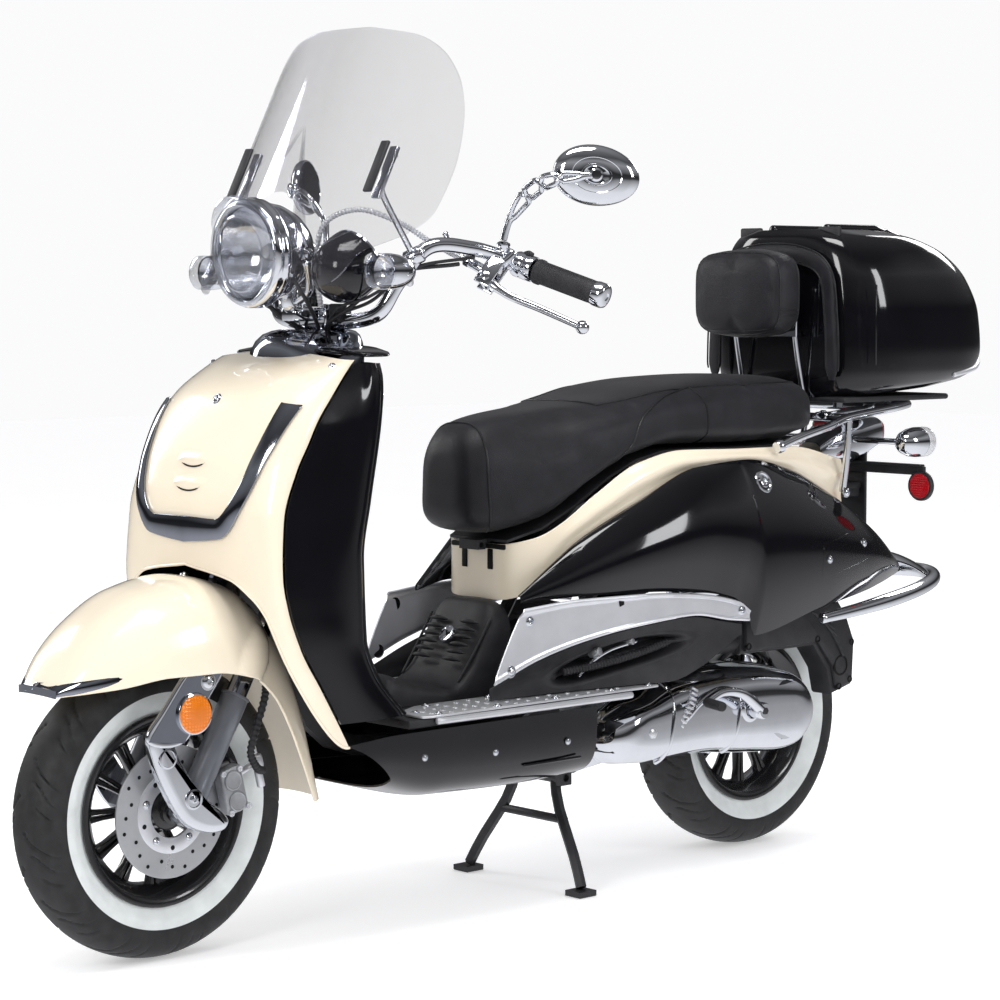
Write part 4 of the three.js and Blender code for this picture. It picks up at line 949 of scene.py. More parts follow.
def wheel(name, y, hub_left, hub_right, bore, body, node):
    s = Shape()
    barrel = [(139, -38), (139.6, -36), (138.4, -34.5), (133, -33), (127, -30.5), (121, -21), (117, -14),
              (116, 0), (117, 14),
              (121, 21), (127, 30.5), (133, 33), (138.4, 34.5), (139.6, 36), (139, 38), (136, 38.6),
              (130, 38), (124, 33), (116, 22),
              (110, 15), (109, 0), (110, -15), (116, -22), (124, -33), (130, -38), (136, -38.6)]
    s.add(*lathe(barrel, (0, y, TYRE_R), (1, 0, 0), 120, True))
    hub = [(bore, -hub_right), (24, -hub_right), (28, -hub_right + 3), (30, -20), (37, -14), (38, 0),
           (37, 14), (30, 20),
           (28, hub_left - 3), (24, hub_left), (bore, hub_left)]
    s.add(*lathe(hub, (0, y, TYRE_R), (1, 0, 0), 60, True))
    # twelve pairs of thin cast spokes, each pair opening towards the barrel
    for i in range(12):
        for side in (-1, 1):
            a = i * math.pi / 6
            tilt = side * 0.052
            e = np.array([0, math.cos(a), math.sin(a)])
            f = np.array([0, -math.sin(a), math.cos(a)])
            rings = []
            for r0, off, w, x0, x1 in (
                (32, 2.4, 3.4, -8, 14), (60, 3.4, 3.0, -4, 12.5), (90, 4.6, 3.0, -2, 12),
                (112, 5.8, 4.4, -4, 13)
            ):
                c = np.array([0, y, TYRE_R]) + e * r0 + f * side * off
                rings.append([c + f * w * k + np.array([x, 0, 0]) for k, x in (
                    (-0.6, x0), (0.6, x0), (1, x0 + 1.5), (1, x1 - 1.5), (0.6, x1), (-0.6, x1),
                    (-1, x1 - 1.5), (-1, x0 + 1.5))])
            s.add(*loft(rings))
    s.add(*lathe(
        [(15, 0), (17, 1), (17, 7), (14, 9), (bore + 0.5, 9.4)], (hub_left, y, TYRE_R), (1, 0, 0), 32
    ))
    s.make(name, body, [RIM], [node], sharp=40, slot="rim_paint")
    # tyre valve, standing on the barrel between two spokes
    valve = Shape()
    base = np.array([10, y + 118 * math.cos(0.9), TYRE_R + 118 * math.sin(0.9)])
    tip = np.array([24, y + 104 * math.cos(0.9), TYRE_R + 104 * math.sin(0.9)])
    valve.add(*rod(base, base + (tip - base) * 0.55, 4.5, 16))
    valve.add(*rod(base + (tip - base) * 0.45, tip, 3.4, 16))
    valve.make(name + "_valve", body, [MATTE])


wheel("wheel_front", AXLE_F, 49, 40, 9.8, "front_wheel", "front_rim")
wheel("wheel_rear", AXLE_R, 44, 44, 11.8, "rear_wheel", "rear_rim")

# drilled brake disc with a lighter carrier
disc = Shape()
disc.add(*lathe(
    [(52, 50.4), (52, 54), (94.4, 54), (95, 53.4), (95, 51), (94.4, 50.4)], (0, AXLE_F, TYRE_R),
    (1, 0, 0), 144, True
))
for k in range(24):
    r0, a = 78 + 7.5 * math.sin(k * 2.1), k * math.pi / 12
    c = np.array([53.9, AXLE_F + r0 * math.cos(a), TYRE_R + r0 * math.sin(a)])
    disc.add(*lathe([(0, 0), (2.6, 0), (2.9, 0.35), (0, 0.36)], c, (1, 0, 0), 14), 1)
disc.add(
    *lathe(
        [(37, 50.2), (37, 55.6), (38, 56.2), (58, 56.2), (59.5, 55.2), (59.5, 50.2)],
        (0, AXLE_F, TYRE_R), (1, 0, 0), 96, True
    ),
    2
)
for k in range(5):
    a = k * 2 * math.pi / 5 + 0.3
    c = np.array([56.0, AXLE_F + 48 * math.cos(a), TYRE_R + 48 * math.sin(a)])
    disc.add(*bolt(c, (1, 0, 0), 4.6, 3.6), 3)
    b = a + 0.63
    c = np.array([56.0, AXLE_F + 51 * math.cos(b), TYRE_R + 51 * math.sin(b)])
    disc.add(*lathe([(0, 0), (3.4, 0), (3.6, 0.3), (0, 0.31)], c, (1, 0, 0), 16), 1)
disc.make(
    "disc_plate", "front_wheel", [DISC, HOLE, SILVER, CHROME], ["brake_disc"], sharp=35,
    slot="disc_steel"
)


# ---------- front fork ----------
def stepped_plate(outline, n, steps):
    """A plate across X from a smooth (y, z) outline; steps are (x, how far the edge stands in)."""
    o = spline(outline, np.linspace(0, 1, n, endpoint=False), True)
    d = np.roll(o, -1, 0) - np.roll(o, 1, 0)
    d /= np.linalg.norm(d, axis=1, keepdims=True)
    inward = np.stack([-d[:, 1], d[:, 0]], 1)
    if np.sum(inward * (o.mean(0) - o)) < 0:
        inward = -inward
    return loft([np.column_stack([np.full(n, x), o + inward * k]) for x, k in steps])


def leg_point(s, x=LEG_X):
    """A point on a fork leg, s along it from the axle."""
    return np.array([x, -606 + s * math.sin(LEG_RAKE), 216 + s * math.cos(LEG_RAKE)])


fork = Shape()
for x in (LEG_X, -LEG_X):
    a, b = leg_point(-18, x), leg_point(182, x)
    length = np.linalg.norm(b - a)
    prof = [(0, 0), (15, 0), (19, 3), (20, 7), (20, 60), (19.4, 62), (19.4, 150), (20, 153),
            (20, length - 6), (19.6, length - 4),
            (21.2, length - 3), (21.2, length), (16.2, length + 0.2)]
    fork.add(*lathe(prof, a, b - a, 48))
    lug = a + np.array([-x / LEG_X * 11, 4, 22])
    fork.add(*rod(lug, lug + (b - a) * 0.12, 4.5, 18))
fork.add(*rod((-95, AXLE_F, TYRE_R), (95, AXLE_F, TYRE_R), 8.4, 32))
fork.make("fork_tubes", "fork", [FORK], ["fork_lower"], sharp=35, slot="fork_grey")

ARM = [(-680, 330), (-664, 338), (-648, 332), (-628, 296), (-590, 242), (-556, 216), (-546, 200),
       (-554, 188), (-580, 186), (-620, 203),
       (-650, 243), (-674, 295)]
ARM_EDGE = [(85, 0), (90, 0), (94, 0.8), (98, 2.6), (100.6, 5.5), (102.2, 9.5), (102.9, 14)]
arm = Shape()
arm.add(*stepped_plate(ARM, 96, ARM_EDGE))
for x, y, z in ((100.4, -655, 302), (101.5, -612, 240)):
    arm.add(*lathe(
        [(0, -3), (15, -3), (15.5, 1), (14.6, 2.6), (12, 3.2), (11, 1.4), (0, 1.2)], (x, y, z),
        (1, 0, 0), 36
    ))
arm.add(*lathe([(0, 0), (6, 0), (6, 3.4), (4, 4), (3, 2), (0, 2)], (102.5, -612, 240), (1, 0, 0), 6))
arm.also_mirrored()
arm.make("fork_arms", "fork", [CHROME], sharp=42, slot="chrome")

COVER = [(-606, 450), (-556, 452), (-548, 440), (-558, 420), (-590, 376), (-628, 324), (-660, 318),
         (-692, 328), (-694, 340), (-668, 372),
         (-636, 412), (-618, 430)]
COVER_EDGE = [(104.6, 0), (106.4, 0), (107.8, 0.7), (108.6, 2.0), (108.9, 4.5), (108.2, 8.0)]
fork_covers = Shape()
fork_covers.add(*stepped_plate(COVER, 110, COVER_EDGE))
fork_covers.add(*bolt((108.4, -590, 405), (1, 0, 0), 9.5, 5), 1)
fork_covers.add(*lathe([(29, -1), (30, 2), (29, 5.4), (27, 6)], (107.6, -615, 362), (1, 0, 0), 48), 1)
fork_covers.also_mirrored()
fork_covers.make("fork_covers", "steering", [CHROME, CHROME], sharp=42, slot="chrome")
amber = Shape()
amber.add(*lathe([(28, 0), (28, 5), (25, 7.6), (14, 9.2), (0, 9.8)], (107.8, -615, 362), (1, 0, 0), 48))
amber.also_mirrored()
amber.make("side_reflectors", "steering", [AMBER], sharp=30)

# brake caliper: two half bodies with pistons, ears and screws, turned with its bracket
caliper = Shape()
c14, s14 = math.cos(math.radians(14)), math.sin(math.radians(14))


def at_caliper(pts):
    pts = np.asarray(pts, float)
    y, z = pts[:, 1] * c14 - pts[:, 2] * s14, pts[:, 1] * s14 + pts[:, 2] * c14
    return np.column_stack([pts[:, 0], y + AXLE_F, z + TYRE_R])


def add_at(shape, made, mat=0):
    shape.add(at_caliper(made[0]), made[1], mat)


for args in ((37.5, 46.5, 74, 120, -32, 32), (58.5, 80, 76, 114, -34, 34), (45, 61, 100, 122, -28, 28)):
    add_at(caliper, slab(*args, r=4.5))
for z in (-17, 15):
    add_at(
        caliper,
        lathe(
            [(0, 0), (15, 0), (15, 2.6), (12.6, 4), (11.8, 2.4), (0, 2.2)], (79.5, 95, z), (1, 0, 0), 30
        )
    )
for y, z in ((80, 30), (110, 28), (80, -30), (112, -30)):
    add_at(caliper, lathe([(0, 0), (5, 0), (5, 3.6), (3, 4), (2.6, 2), (0, 2)], (79.6, y, z), (1, 0, 0),
    6), 1)
add_at(caliper, rod((70, 116, 18), (70, 146, 22), 5, 16), 1)
add_at(caliper, slab(60, 78, 140, 156, 12, 34, r=4), 1)
add_at(caliper, rod((69, 148, 10), (69, 148, -16), 6, 16), 1)
add_at(caliper, rod((69, 148, 34), (69, 148, 46), 4.4, 16), 1)
caliper.make("caliper_body", "fork", [CAST, SILVER], ["brake_caliper"], sharp=35, bevel=0.6,
slot="cast_metal")

# corrugated hose down the back of the left slider to the caliper
def coil_tube(points, r, pitch, n_around=12, depth=0.14):
    length = float(np.sum(np.linalg.norm(np.diff(spline(points, np.linspace(0, 1, 80)), axis=0), axis=1)))
    n = int(length / pitch * 4)
    radii = r * (1 - depth + depth * np.cos(np.linspace(0, 2 * math.pi * length / pitch, n + 1)))
    return tube(points, radii, n, n_around)


hose = Shape()
top = [(84, -470, 398), (88, -474, 372), (92, -492, 330), (94, -505, 292), (90, -490, 268), (80, -474, 262)]
hose.add(*coil_tube(top, 6.2, 6.0))
hose_piece = hose.make("caliper_hose", None, [MATTE], sharp=60)
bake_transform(hose_piece)

# ---------- floor, duct and lower body ----------
BELLY = [
    (-405, 186, 300, 250), (-318, 190, 308, 222), (-213, 192, 309, 196), (0, 190, 309, 190),
    (100, 185, 309, 193)
]
u, v = uv(96, 40)
across, down = squarish(np.cos(np.pi * u), 4.5), squarish(np.sin(np.pi * u), 4.5)
y = lerp(lerp(-400, -312, np.minimum(1, down * 1.3)), 98, v)
row = track(BELLY, y)
p = stack(row[..., 0] * across, y, lerp(row[..., 1], row[..., 2], down))
belly = Shape().add(*plate(p, 3))
for s in (-1, 1):
    belly.add(*slab(s * 188 - 2, s * 188 + 2, -60, 60, 232, 236, r=1.5))
belly.make("belly_shell", "chassis", [BLACK], ["lower_fairing"], sharp=55, slot="black_gloss")

board = Shape()
board.add(*slab(-186, 186, -285, 17, 312.5, 325, r=2))
board.add(*slab(100, 186, 10, 167, 312.5, 325, r=2))
board.add(*slab(-186, -100, 10, 167, 312.5, 325, r=2))
TUNNEL = [(-232, 326), (-232, 362), (-222, 371), (-190, 361), (-154, 350), (-120, 344), (-94, 345),
          (-62, 372), (-30, 430), (-14, 458), (-6, 466),
          (10, 466), (17, 462), (17, 326)]
# the tunnel's section is rounded at its shoulders
t = np.linspace(0, 1, 90)
crest = spline([(a, b, 0) for a, b in TUNNEL[1:-1]], t)[:, :2]
rows = []
for a in np.linspace(0, math.pi, 49):
    cx, sz = squarish(math.cos(a), 5), squarish(math.sin(a), 5)
    rows.append(np.column_stack([np.full(len(crest), 74.5 * cx), crest[:, 0], lerp(326, crest[:, 1], sz)]))
p = np.array(rows).transpose(1, 0, 2)
board.add(*plate(p, 3.0))
board.make("floor_tunnel", "chassis", [MATTE], ["floorboard"], sharp=50, slot="black_plastic")

# louvred cover of the tunnel's rise, with its lock
louvres = Shape()
for k in range(6):
    f = 0.30 + k * 0.115
    y0, z0 = lerp(-86, -22, f), lerp(350, 446, f)
    for side in (-1, 1):
        x0, x1 = (16, 56) if side > 0 else (-56, -16)
        path = [(x0, y0 - 4.5, z0 + 3), ((x0 + x1) / 2, y0 - 8, z0 + 5.2), (x1, y0 - 4.5, z0 + 3)]
        louvres.add(*tube(path, [1.4, 3.4, 3.8, 3.4, 1.4], 16, 10))
for side in (-1, 1):
    louvres.add(*tube([(side * 66, -84, 352), (side * 68, -50, 398), (side * 69, -20, 444)], 2.2, 20, 8))
louvres.add(*tube([(-68, -88, 345), (0, -90, 342), (68, -88, 345)], 2.2, 20, 8))
louvres.make("tunnel_louvres", "chassis", [MATTE], sharp=60)
tunnel_lock = Shape()
tunnel_lock.add(*lathe(
    [(15, -3), (15.4, 2), (14.4, 4), (12.6, 4.6), (11.8, 2.6), (0, 2.2)], (0, -47, 416),
    (0, -0.84, 0.55), 36
))
tunnel_lock.add(*slab(-1.4, 1.4, -51, -48, 413, 423, r=0.6), 1)
tunnel_lock.make("tunnel_lock", "chassis", [CHROME, HOLE])

# tread plates: rolled edge, raised studs and screws
FOOT = [
    (98, -200), (118, -238), (150, -262), (186, -262), (192, -240), (192, 228), (172, 228), (140, 170),
    (98, 120)
]
treads = Shape()
o = np.array(FOOT, float)
fine = []
for k in range(len(o)):
    a, b = o[k], o[(k + 1) % len(o)]
    for q in np.linspace(0.08, 0.92, 8):
        fine.append(a + (b - a) * q)
treads.add(*prism(fine, 326.2, 330, r=1.2, axis=2))
treads.add(*tube([(192, -236, 321), (192, -60, 320), (192, 100, 320), (192, 166, 320)], 5.2, 40, 12))
for i in range(13):
    for j in range(4):
        x = 112 + j * 21 + (i % 2) * 8
        yy = -232 + i * 32
        if x > 186 or yy > 120 + (x - 98) * 1.05 - 16 or yy < -200 - (x - 98) * 1.1 + 18:
            continue
        treads.add(*lathe([(0, 0), (4.4, 0), (3.6, 1.4), (0, 1.7)], (x, yy, 329.8), (0, 0, 1), 12))
treads.also_mirrored()
treads.make(
    "tread_plates", "chassis", [ALUMINIUM], ["footplate_left", "footplate_right"], sharp=35,
    slot="tread_aluminium"
)
tread_screws = Shape()
for x, yy in (
    (112, -190), (150, -244), (182, -226), (184, -110), (184, 10), (184, 130), (184, 212), (108, -60),
    (108, 60), (140, 150)
):
    tread_screws.add(*bolt((x, yy, 330), (0, 0, 1), 5.2, 3.2))
tread_screws.also_mirrored()
tread_screws.make("tread_screws", "chassis", [CHROME])

DUCT_TOP = [(-92, 350), (0, 384), (92, 407), (200, 424), (300, 432), (380, 418), (412, 412)]
DUCT_FOOT = [(-92, 331), (60, 331), (200, 331), (260, 331), (330, 352), (380, 380), (412, 396)]
DUCT_X = [(-92, 146), (0, 152), (92, 160), (202, 176), (300, 188), (412, 196)]
u, v = uv(140, 60)
y = lerp(-92, 412, u)
top, foot, x = track(DUCT_TOP, y)[..., 0], track(DUCT_FOOT, y)[..., 0], track(DUCT_X, y)[..., 0]
x = x - lerp(26, 8, u) * np.sin(np.pi * v) * np.sin(np.pi * u)
z = lerp(top, foot, v)
# the lens-shaped mouth with its bar, sunk into the panel
mid = 371 + (y - 150) * 0.165
halfy, halfz = 128, 24
e = ((y - 172) / halfy) ** 2 + ((z - mid - 4 * np.cos((y - 172) / 60)) / halfz) ** 2
sink = 1 / (1 + np.exp((e - 0.85) * 9))
bar = np.exp(-(((z - mid - 1) / 4.2) ** 2)) * (np.abs(y - 172) < halfy * 1.02)
x2 = x - 26 * sink * (1 - 0.72 * bar) + 3.2 * np.exp(-((e - 1.12) / 0.16) ** 2)
duct = Shape()
# the faces sunk inside the mouth take the near black: painted shade of the recess
mouth = (sink > 0.75) & (bar < 0.5)
P = stack(x2, y, z)
verts, faces = plate(P, 3)
inside = mouth[:-1, :-1].reshape(-1)
mats = np.zeros(len(faces), int)
mats[: len(inside)] = inside
duct.add(verts, faces, mats.tolist())
duct.also_mirrored()
duct.make(
    "duct_shells", "chassis", [MATTE, HOLE], ["side_duct_left", "side_duct_right"], sharp=60,
    slot="black_plastic"
)
# ribbed hose and fittings seen in the mouth
inner = Shape()
inner.add(*coil_tube([(150, 60, 362), (158, 130, 368), (164, 200, 378), (168, 268, 392)], 7, 6))
inner.add(*rod((146, 120, 384), (165, 124, 390), 7, 18), 1)
inner.add(*rod((150, 190, 398), (168, 194, 400), 6, 18), 1)
inner.add(*tube([(150, 92, 352), (156, 112, 372), (158, 150, 388), (160, 210, 398)], 2.6, 30, 8), 2)
inner.also_mirrored()
inner.make("duct_fittings", "chassis", [MATTE, CAST, CHROME])

# ---------- centre and rear bodywork ----------
COVER_TOP = [
    (18, 554), (60, 568), (90, 586), (147, 630), (226, 677), (317, 694), (445, 691), (607, 688),
    (760, 660)
]
COVER_FOOT = [
    (18, 469), (60, 490), (103, 540), (213, 598), (332, 645), (454, 652), (581, 630), (701, 588),
    (760, 568)
]
COVER_PLAN = [
    (108, 760), (128, 640), (148, 480), (156, 330), (146, 200), (116, 90), (90, 42), (64, 21), (0, 19)
]
s = np.linspace(-1, 1, 241)
plan = spline([(a, b, 0) for a, b in COVER_PLAN], 1 - np.abs(s))
sign = np.where(s < 0, -1, 1)
rows = []
for w in np.linspace(0, 1, 37):
    top, foot = track(COVER_TOP, plan[:, 1])[:, 0], track(COVER_FOOT, plan[:, 1])[:, 0]
    z = lerp(top, foot, w)
    swell = 3.5 * math.sin(math.pi * w) ** 0.8
    swell += 5.5 * math.exp(-(((w - 0.30) / 0.16) ** 2)) - 3.0 * math.exp(-(((w - 0.62) / 0.14) ** 2))
    swell *= np.clip((plan[:, 1] - 60) / 120, 0, 1)
    rows.append(np.column_stack([(plan[:, 0] - 4 + swell) * sign, plan[:, 1], z]))
cover = Shape()
p = np.array(rows)
cover.add(*plate(p, 3))
cover.add(*tube(p[0], 2.4, m=10, smooth=False))
cover.make("cover_shell", "chassis", [CREAM], ["centre_cover"], sharp=60, slot="cream_paint")
hinge_slots = Shape()
for x in (-30, 30):
    hinge_slots.add(*slab(x - 6, x + 6, 13.5, 18.5, 516, 548, r=1.2))
hinge_slots.add(*slab(-62, 62, 14, 20, 548, 556, r=2))
hinge_slots.make("hinge_slots", "chassis", [HOLE])

PANEL_TOP = [
    (-6, 120, 482), (60, 132, 534), (103, 142, 565), (213, 164, 621), (332, 174, 669), (454, 168, 676),
    (581, 153, 654), (701, 137, 607), (824, 118, 542), (925, 92, 476),
]
PANEL_FOOT = [
    (-6, 122, 472), (100, 162, 480), (202, 178, 479), (330, 192, 470), (395, 198, 455), (430, 198, 430),
    (440, 197, 392),
    (626, 186, 425), (760, 158, 438), (841, 130, 446), (925, 94, 454),
]
PANEL_BULGE = [(-6, 1), (150, 22), (330, 34), (500, 38), (700, 34), (850, 20), (925, 6)]


def panel_at(y, v):
    """A point on the left side panel, v down from its upper edge."""
    a, b, c = track(PANEL_TOP, y), track(PANEL_FOOT, y), track(PANEL_BULGE, y)
    return stack(
        lerp(a[..., 0], b[..., 0], v) + c[..., 0] * np.sin(np.pi * v), y, lerp(a[..., 1], b[..., 1], v)
    )


u, v = uv(200, 64)
y = lerp(-6, 925, u)
p = panel_at(y, v)
n = normals_of(p)
n *= np.where(n[..., :1] < 0, -1, 1)
# a soft return along the upper edge
p = p - n * (5.0 * np.exp(-v / 0.035))[..., None]
panel = Shape().add(*plate(p, 3))
panel.also_mirrored()
panel.make(
    "panel_shells", "chassis", [BLACK], ["side_panel_left", "side_panel_right"], sharp=60,
    slot="black_gloss"
)

panel_bolts = Shape()
q = panel_at(np.array(474.0), np.array(0.13))
panel_bolts.add(*lathe(
    [
        (19, -2), (19.5, 1.4), (18, 3), (15, 3.2), (13.5, 1.4), (10, 1.2), (10, 3.4), (8.5, 4.6),
        (5, 4.8), (4, 3), (0, 2.8)
    ],
    q + [1.5, 0, 0], (1, 0.05, 0.42), 40
))
panel_bolts.also_mirrored()
panel_bolts.make("panel_bolts", "chassis", [CHROME])

# blank badge plates with two screws, following the panel
badge = Shape()
badge_screws = Shape()


def panel_patch(y0, y1, z0, z1, lift, skew):
    ys = np.linspace(0, 1, 40)
    rows = []
    for t in np.linspace(0, 1, 18):
        r = 0.09
        squeeze = 1 - r * (1 - np.clip(
            1 - (np.clip(np.abs(2 * t - 1) - (1 - 2 * r * 2.2), 0, None) / (2 * r * 2.2)) ** 2, 0, 1
        ) ** 0.5)
        yy = lerp(y0, y1, 0.5 + (ys - 0.5) * squeeze)
        zz = lerp(z0, z1, t) + skew * (yy - y0)
        a, b = track(PANEL_TOP, yy), track(PANEL_FOOT, yy)
        vv = np.clip((zz - a[:, 1]) / (b[:, 1] - a[:, 1]), 0, 1)
        q = panel_at(yy, vv)
        q[:, 0] += lift
        rows.append(q)
    return np.array(rows)


p = panel_patch(596, 752, 472, 530, 3.4, 0.16)
badge.add(*plate(p, 3.4))
badge.also_mirrored()
badge.make("badge_plates", "chassis", [BLACK], sharp=35, bevel=0.8, slot="black_gloss")
for yy, zz in ((614, 505), (734, 523)):
    a, b = track(PANEL_TOP, yy), track(PANEL_FOOT, yy)
    q = panel_at(np.array(float(yy)), np.array((zz - a[1]) / (b[1] - a[1])))
    badge_screws.add(*bolt(q + [4.2, 0, 0], (1, 0.05, 0.05), 5.4, 3.4))
badge_screws.also_mirrored()
badge_screws.make("badge_screws", "chassis", [CHROME])

TRIM_TOP = [(-33, 467), (80, 474), (202, 474), (320, 465), (395, 449), (420, 432)]
TRIM_FOOT = [(-91, 356), (0, 390), (92, 412), (200, 429), (300, 437), (380, 424), (420, 420)]
TRIM_X = [(-91, 150), (0, 156), (92, 165), (202, 181), (300, 193), (420, 203)]
u, v = uv(130, 36)
y = lerp(-33, 420, u)
yy = y - (1 - u) ** 2 * 58 * v
top, foot, x = track(TRIM_TOP, y)[..., 0], track(TRIM_FOOT, yy)[..., 0], track(TRIM_X, yy)[..., 0]
roll = 3.4 * np.exp(-((v - 0.04) / 0.05) ** 2) + 2.0 * np.exp(-((v - 0.97) / 0.035) ** 2)
p = stack(x + 3 + roll, yy, lerp(top, foot, v))
trim = Shape().add(*plate(p, 3))
trim.also_mirrored()
trim.make(
    "trim_plates", "chassis", [SILVER], ["side_trim_left", "side_trim_right"], sharp=55, bevel=0.7,
    slot="silver_trim"
)
trim_bolts = Shape()
for yb, zb in ((-22, 448), (-58, 375), (402, 436)):
    xb = track(TRIM_X, yb)[0] + 4
    trim_bolts.add(*bolt((xb, yb, zb), (1, 0, 0.02), 8.2, 5.2))
trim_bolts.also_mirrored()
trim_bolts.make("trim_bolts", "chassis", [CHROME])
notch = Shape()
xb = track(TRIM_X, 170)[0] + 4.2
notch.add(*loft([[(xb + d, 150, 470), (xb + d, 196, 472), (xb + d, 152, 459)] for d in (-1.5, 0.4)]))
notch.also_mirrored()
notch.make("trim_notches", "chassis", [HOLE])

# rear bumper: a chrome tube round the tail and a swept lip
BUMPER_HALF, BUMPER_FRONT, BUMPER_REACH, BUMPER_RISE = 190, 620, 473, 36


def bumper_point(a, z):
    """A point of the bumper's sweep round the tail."""
    s = math.sin(a)
    return np.array([BUMPER_HALF * math.cos(a), BUMPER_FRONT + BUMPER_REACH * s, z + BUMPER_RISE * s])


bumper = Shape()
bumper.add(*tube(
    [bumper_point(math.pi * i / 24, 404) for i in range(25)], [9, 13, 13, 13, 13, 13, 13, 13, 9], 120,
    24
))
rows = []
for w in np.linspace(0, 1, 21):
    r = []
    for a in np.linspace(1.02, math.pi - 1.02, 97):
        x, yb, zb = bumper_point(a, 406)
        reach = w * (0.12 + 0.3 * math.sin(a))
        r.append((
            x * (1 - reach * 0.8), lerp(yb, 700, reach * 0.75),
            zb + 46 * w * math.sin(a) + 7 * math.sin(math.pi * w)
        ))
    rows.append(r)
bumper.add(*plate(np.array(rows), 4))
bumper.make("bumper_bar", "chassis", [CHROME], ["rear_bumper"], sharp=50, bevel=0.8, slot="chrome")

# ---------- seat ----------
SEAT = [
    (-58, 606, 700, 42), (-50, 584, 722, 62), (-30, 570, 742, 76), (0, 566, 752, 86), (50, 577, 760, 102),
    (100, 600, 765, 120), (150, 638, 771, 137), (226, 684, 782, 151), (317, 701, 800, 157),
    (400, 700, 808, 157),
    (520, 698, 811, 150), (620, 700, 808, 138), (670, 703, 801, 124), (696, 716, 784, 100),
]


def seat_ring(y, n, shrink=0.0):
    """The seat's section at y, shrunk to leave room for the swelling."""
    low, top, half = track(SEAT, y)
    a = turns(n)
    sn = np.sin(a)
    up = np.where(sn > 0, squarish(sn, 2.6), squarish(sn, 7))
    # the sides lean in towards the top, and the seat dips where the rider sits
    xx = (half - shrink) * squarish(np.cos(a), 3) * (1 - 0.05 * (up + 1) / 2)
    return stack(xx, np.full(n, y), lerp(low + shrink, top - shrink, (up + 1) / 2))


def cushion(shape_name, rings, mats, voxel, pressure, cap, body="seat"):
    """A stuffed piece: remeshed, swollen by cloth pressure within a cap, and smoothed."""
    s = Shape()
    s.add(*loft(rings))
    obj = s.make(shape_name, body, mats, sharp=180)
    base = obj.modifiers.new("remesh", "REMESH")
    base.mode, base.voxel_size = "VOXEL", voxel / 1000
    dg = bpy.context.evaluated_depsgraph_get()
    mesh = bpy.data.meshes.new_from_object(obj.evaluated_get(dg))
    obj.modifiers.clear()
    obj.data = mesh
    before = np.empty(len(mesh.vertices) * 3)
    mesh.vertices.foreach_get("co", before)
    before = before.reshape(-1, 3)
    cloth = obj.modifiers.new("cloth", "CLOTH")
    c = cloth.settings
    c.quality, c.mass = 5, 0.3
    c.use_pressure, c.uniform_pressure_force = True, pressure
    c.effector_weights.gravity = 0
    c.tension_stiffness = c.compression_stiffness = 18
    c.bending_stiffness = 1.5
    cloth.point_cache.frame_start, cloth.point_cache.frame_end = 1, 20
    for f in range(1, 21):
        scene.frame_set(f)
    dg = bpy.context.evaluated_depsgraph_get()
    after = np.empty(len(mesh.vertices) * 3)
    obj.evaluated_get(dg).data.vertices.foreach_get("co", after)
    after = after.reshape(-1, 3)
    obj.modifiers.clear()
    scene.frame_set(1)
    move = after - before
    size = np.linalg.norm(move, axis=1, keepdims=True)
    move *= np.minimum(1, (cap / 1000) / np.maximum(size, 1e-9))
    mesh.vertices.foreach_set("co", (before + move).reshape(-1))
    mesh.shade_smooth()
    return obj


ys = np.concatenate([np.linspace(-58, 0, 22), np.linspace(6, 660, 100), np.linspace(664, 696, 12)])
seat_rings = [seat_ring(y, 96, 4.5) for y in ys]
seat = cushion("seat_vinyl", seat_rings, [VINYL], 6.0, 3.5, 4.5)
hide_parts("seat_cushion")


def shrink_to(obj, points, lift):
    """Points moved to the nearest place on an object's surface (millimetres in and out)."""
    corners = [v.co for v in obj.data.vertices]
    tree = BVHTree.FromPolygons(corners, [list(f.vertices) for f in obj.data.polygons])
    out = []
    for q in metres(points):
        hit, normal, _, _ = tree.find_nearest(Vector(q))
        out.append((np.array(hit + normal * lift / 1000) * 1000) - SHIFT)
    return np.array(out)


def seam(shape, obj, path, r=1.5, n=60):
    """Piping laid along a path on a cushion."""
    fine = spline(path, np.linspace(0, 1, n + 1))
    on = shrink_to(obj, fine, r * 0.25)
    shape.add(*tube(on, r, n, 8, smooth=False))


def seat_outline(y, a):
    """The point of the seat's section at y, a degrees round from the left."""
    ring = seat_ring(y, 361)
    return ring[int(a) % 360]


seams = Shape()
nose = [
    seat_outline(y, a) for y,
    a in ((-10, -62), (-20, -35), (-28, 0), (-27, 25), (-26, 48), (-24, 66), (-22, 90))
]
nose = nose + [p * [-1, 1, 1] for p in nose[-2::-1]]
seam(seams, seat, nose, 1.7, n=110)
for s in (-1, 1):
    flip = np.array([s, 1, 1])
    rise = [
        seat_outline(y, a) * flip for y,
        a in ((190, -52), (214, -12), (244, 14), (290, 36), (330, 44), (372, 48))
    ]
    seam(seams, seat, rise, 1.5, n=70)
    down = [seat_outline(y, a) * flip for y, a in ((372, 48), (384, 20), (388, -20), (388, -52))]
    seam(seams, seat, down, 1.5, n=50)
    edge = [
        seat_outline(y, a) * flip for y,
        a in ((190, 60), (260, 54), (372, 48), (470, 46), (600, 48), (660, 56), (688, 70))
    ]
    seam(seams, seat, edge, 1.6, n=110)
ridge = [seat_outline(y, a) for y, a in ((190, 60), (182, 75), (180, 90))]
ridge = ridge + [p * [-1, 1, 1] for p in ridge[-2::-1]]
seam(seams, seat, ridge, 1.6, n=60)
seams.make("seat_piping", "seat", [PIPING])

# backrest pad: a stitched front face, a rolled band round it and a soft back
def pad_ring(y, w, h, n=96, cz=946, power=4):
    a = turns(n)
    return stack(w * squarish(np.cos(a), power), y, cz + h * squarish(np.sin(a), power))


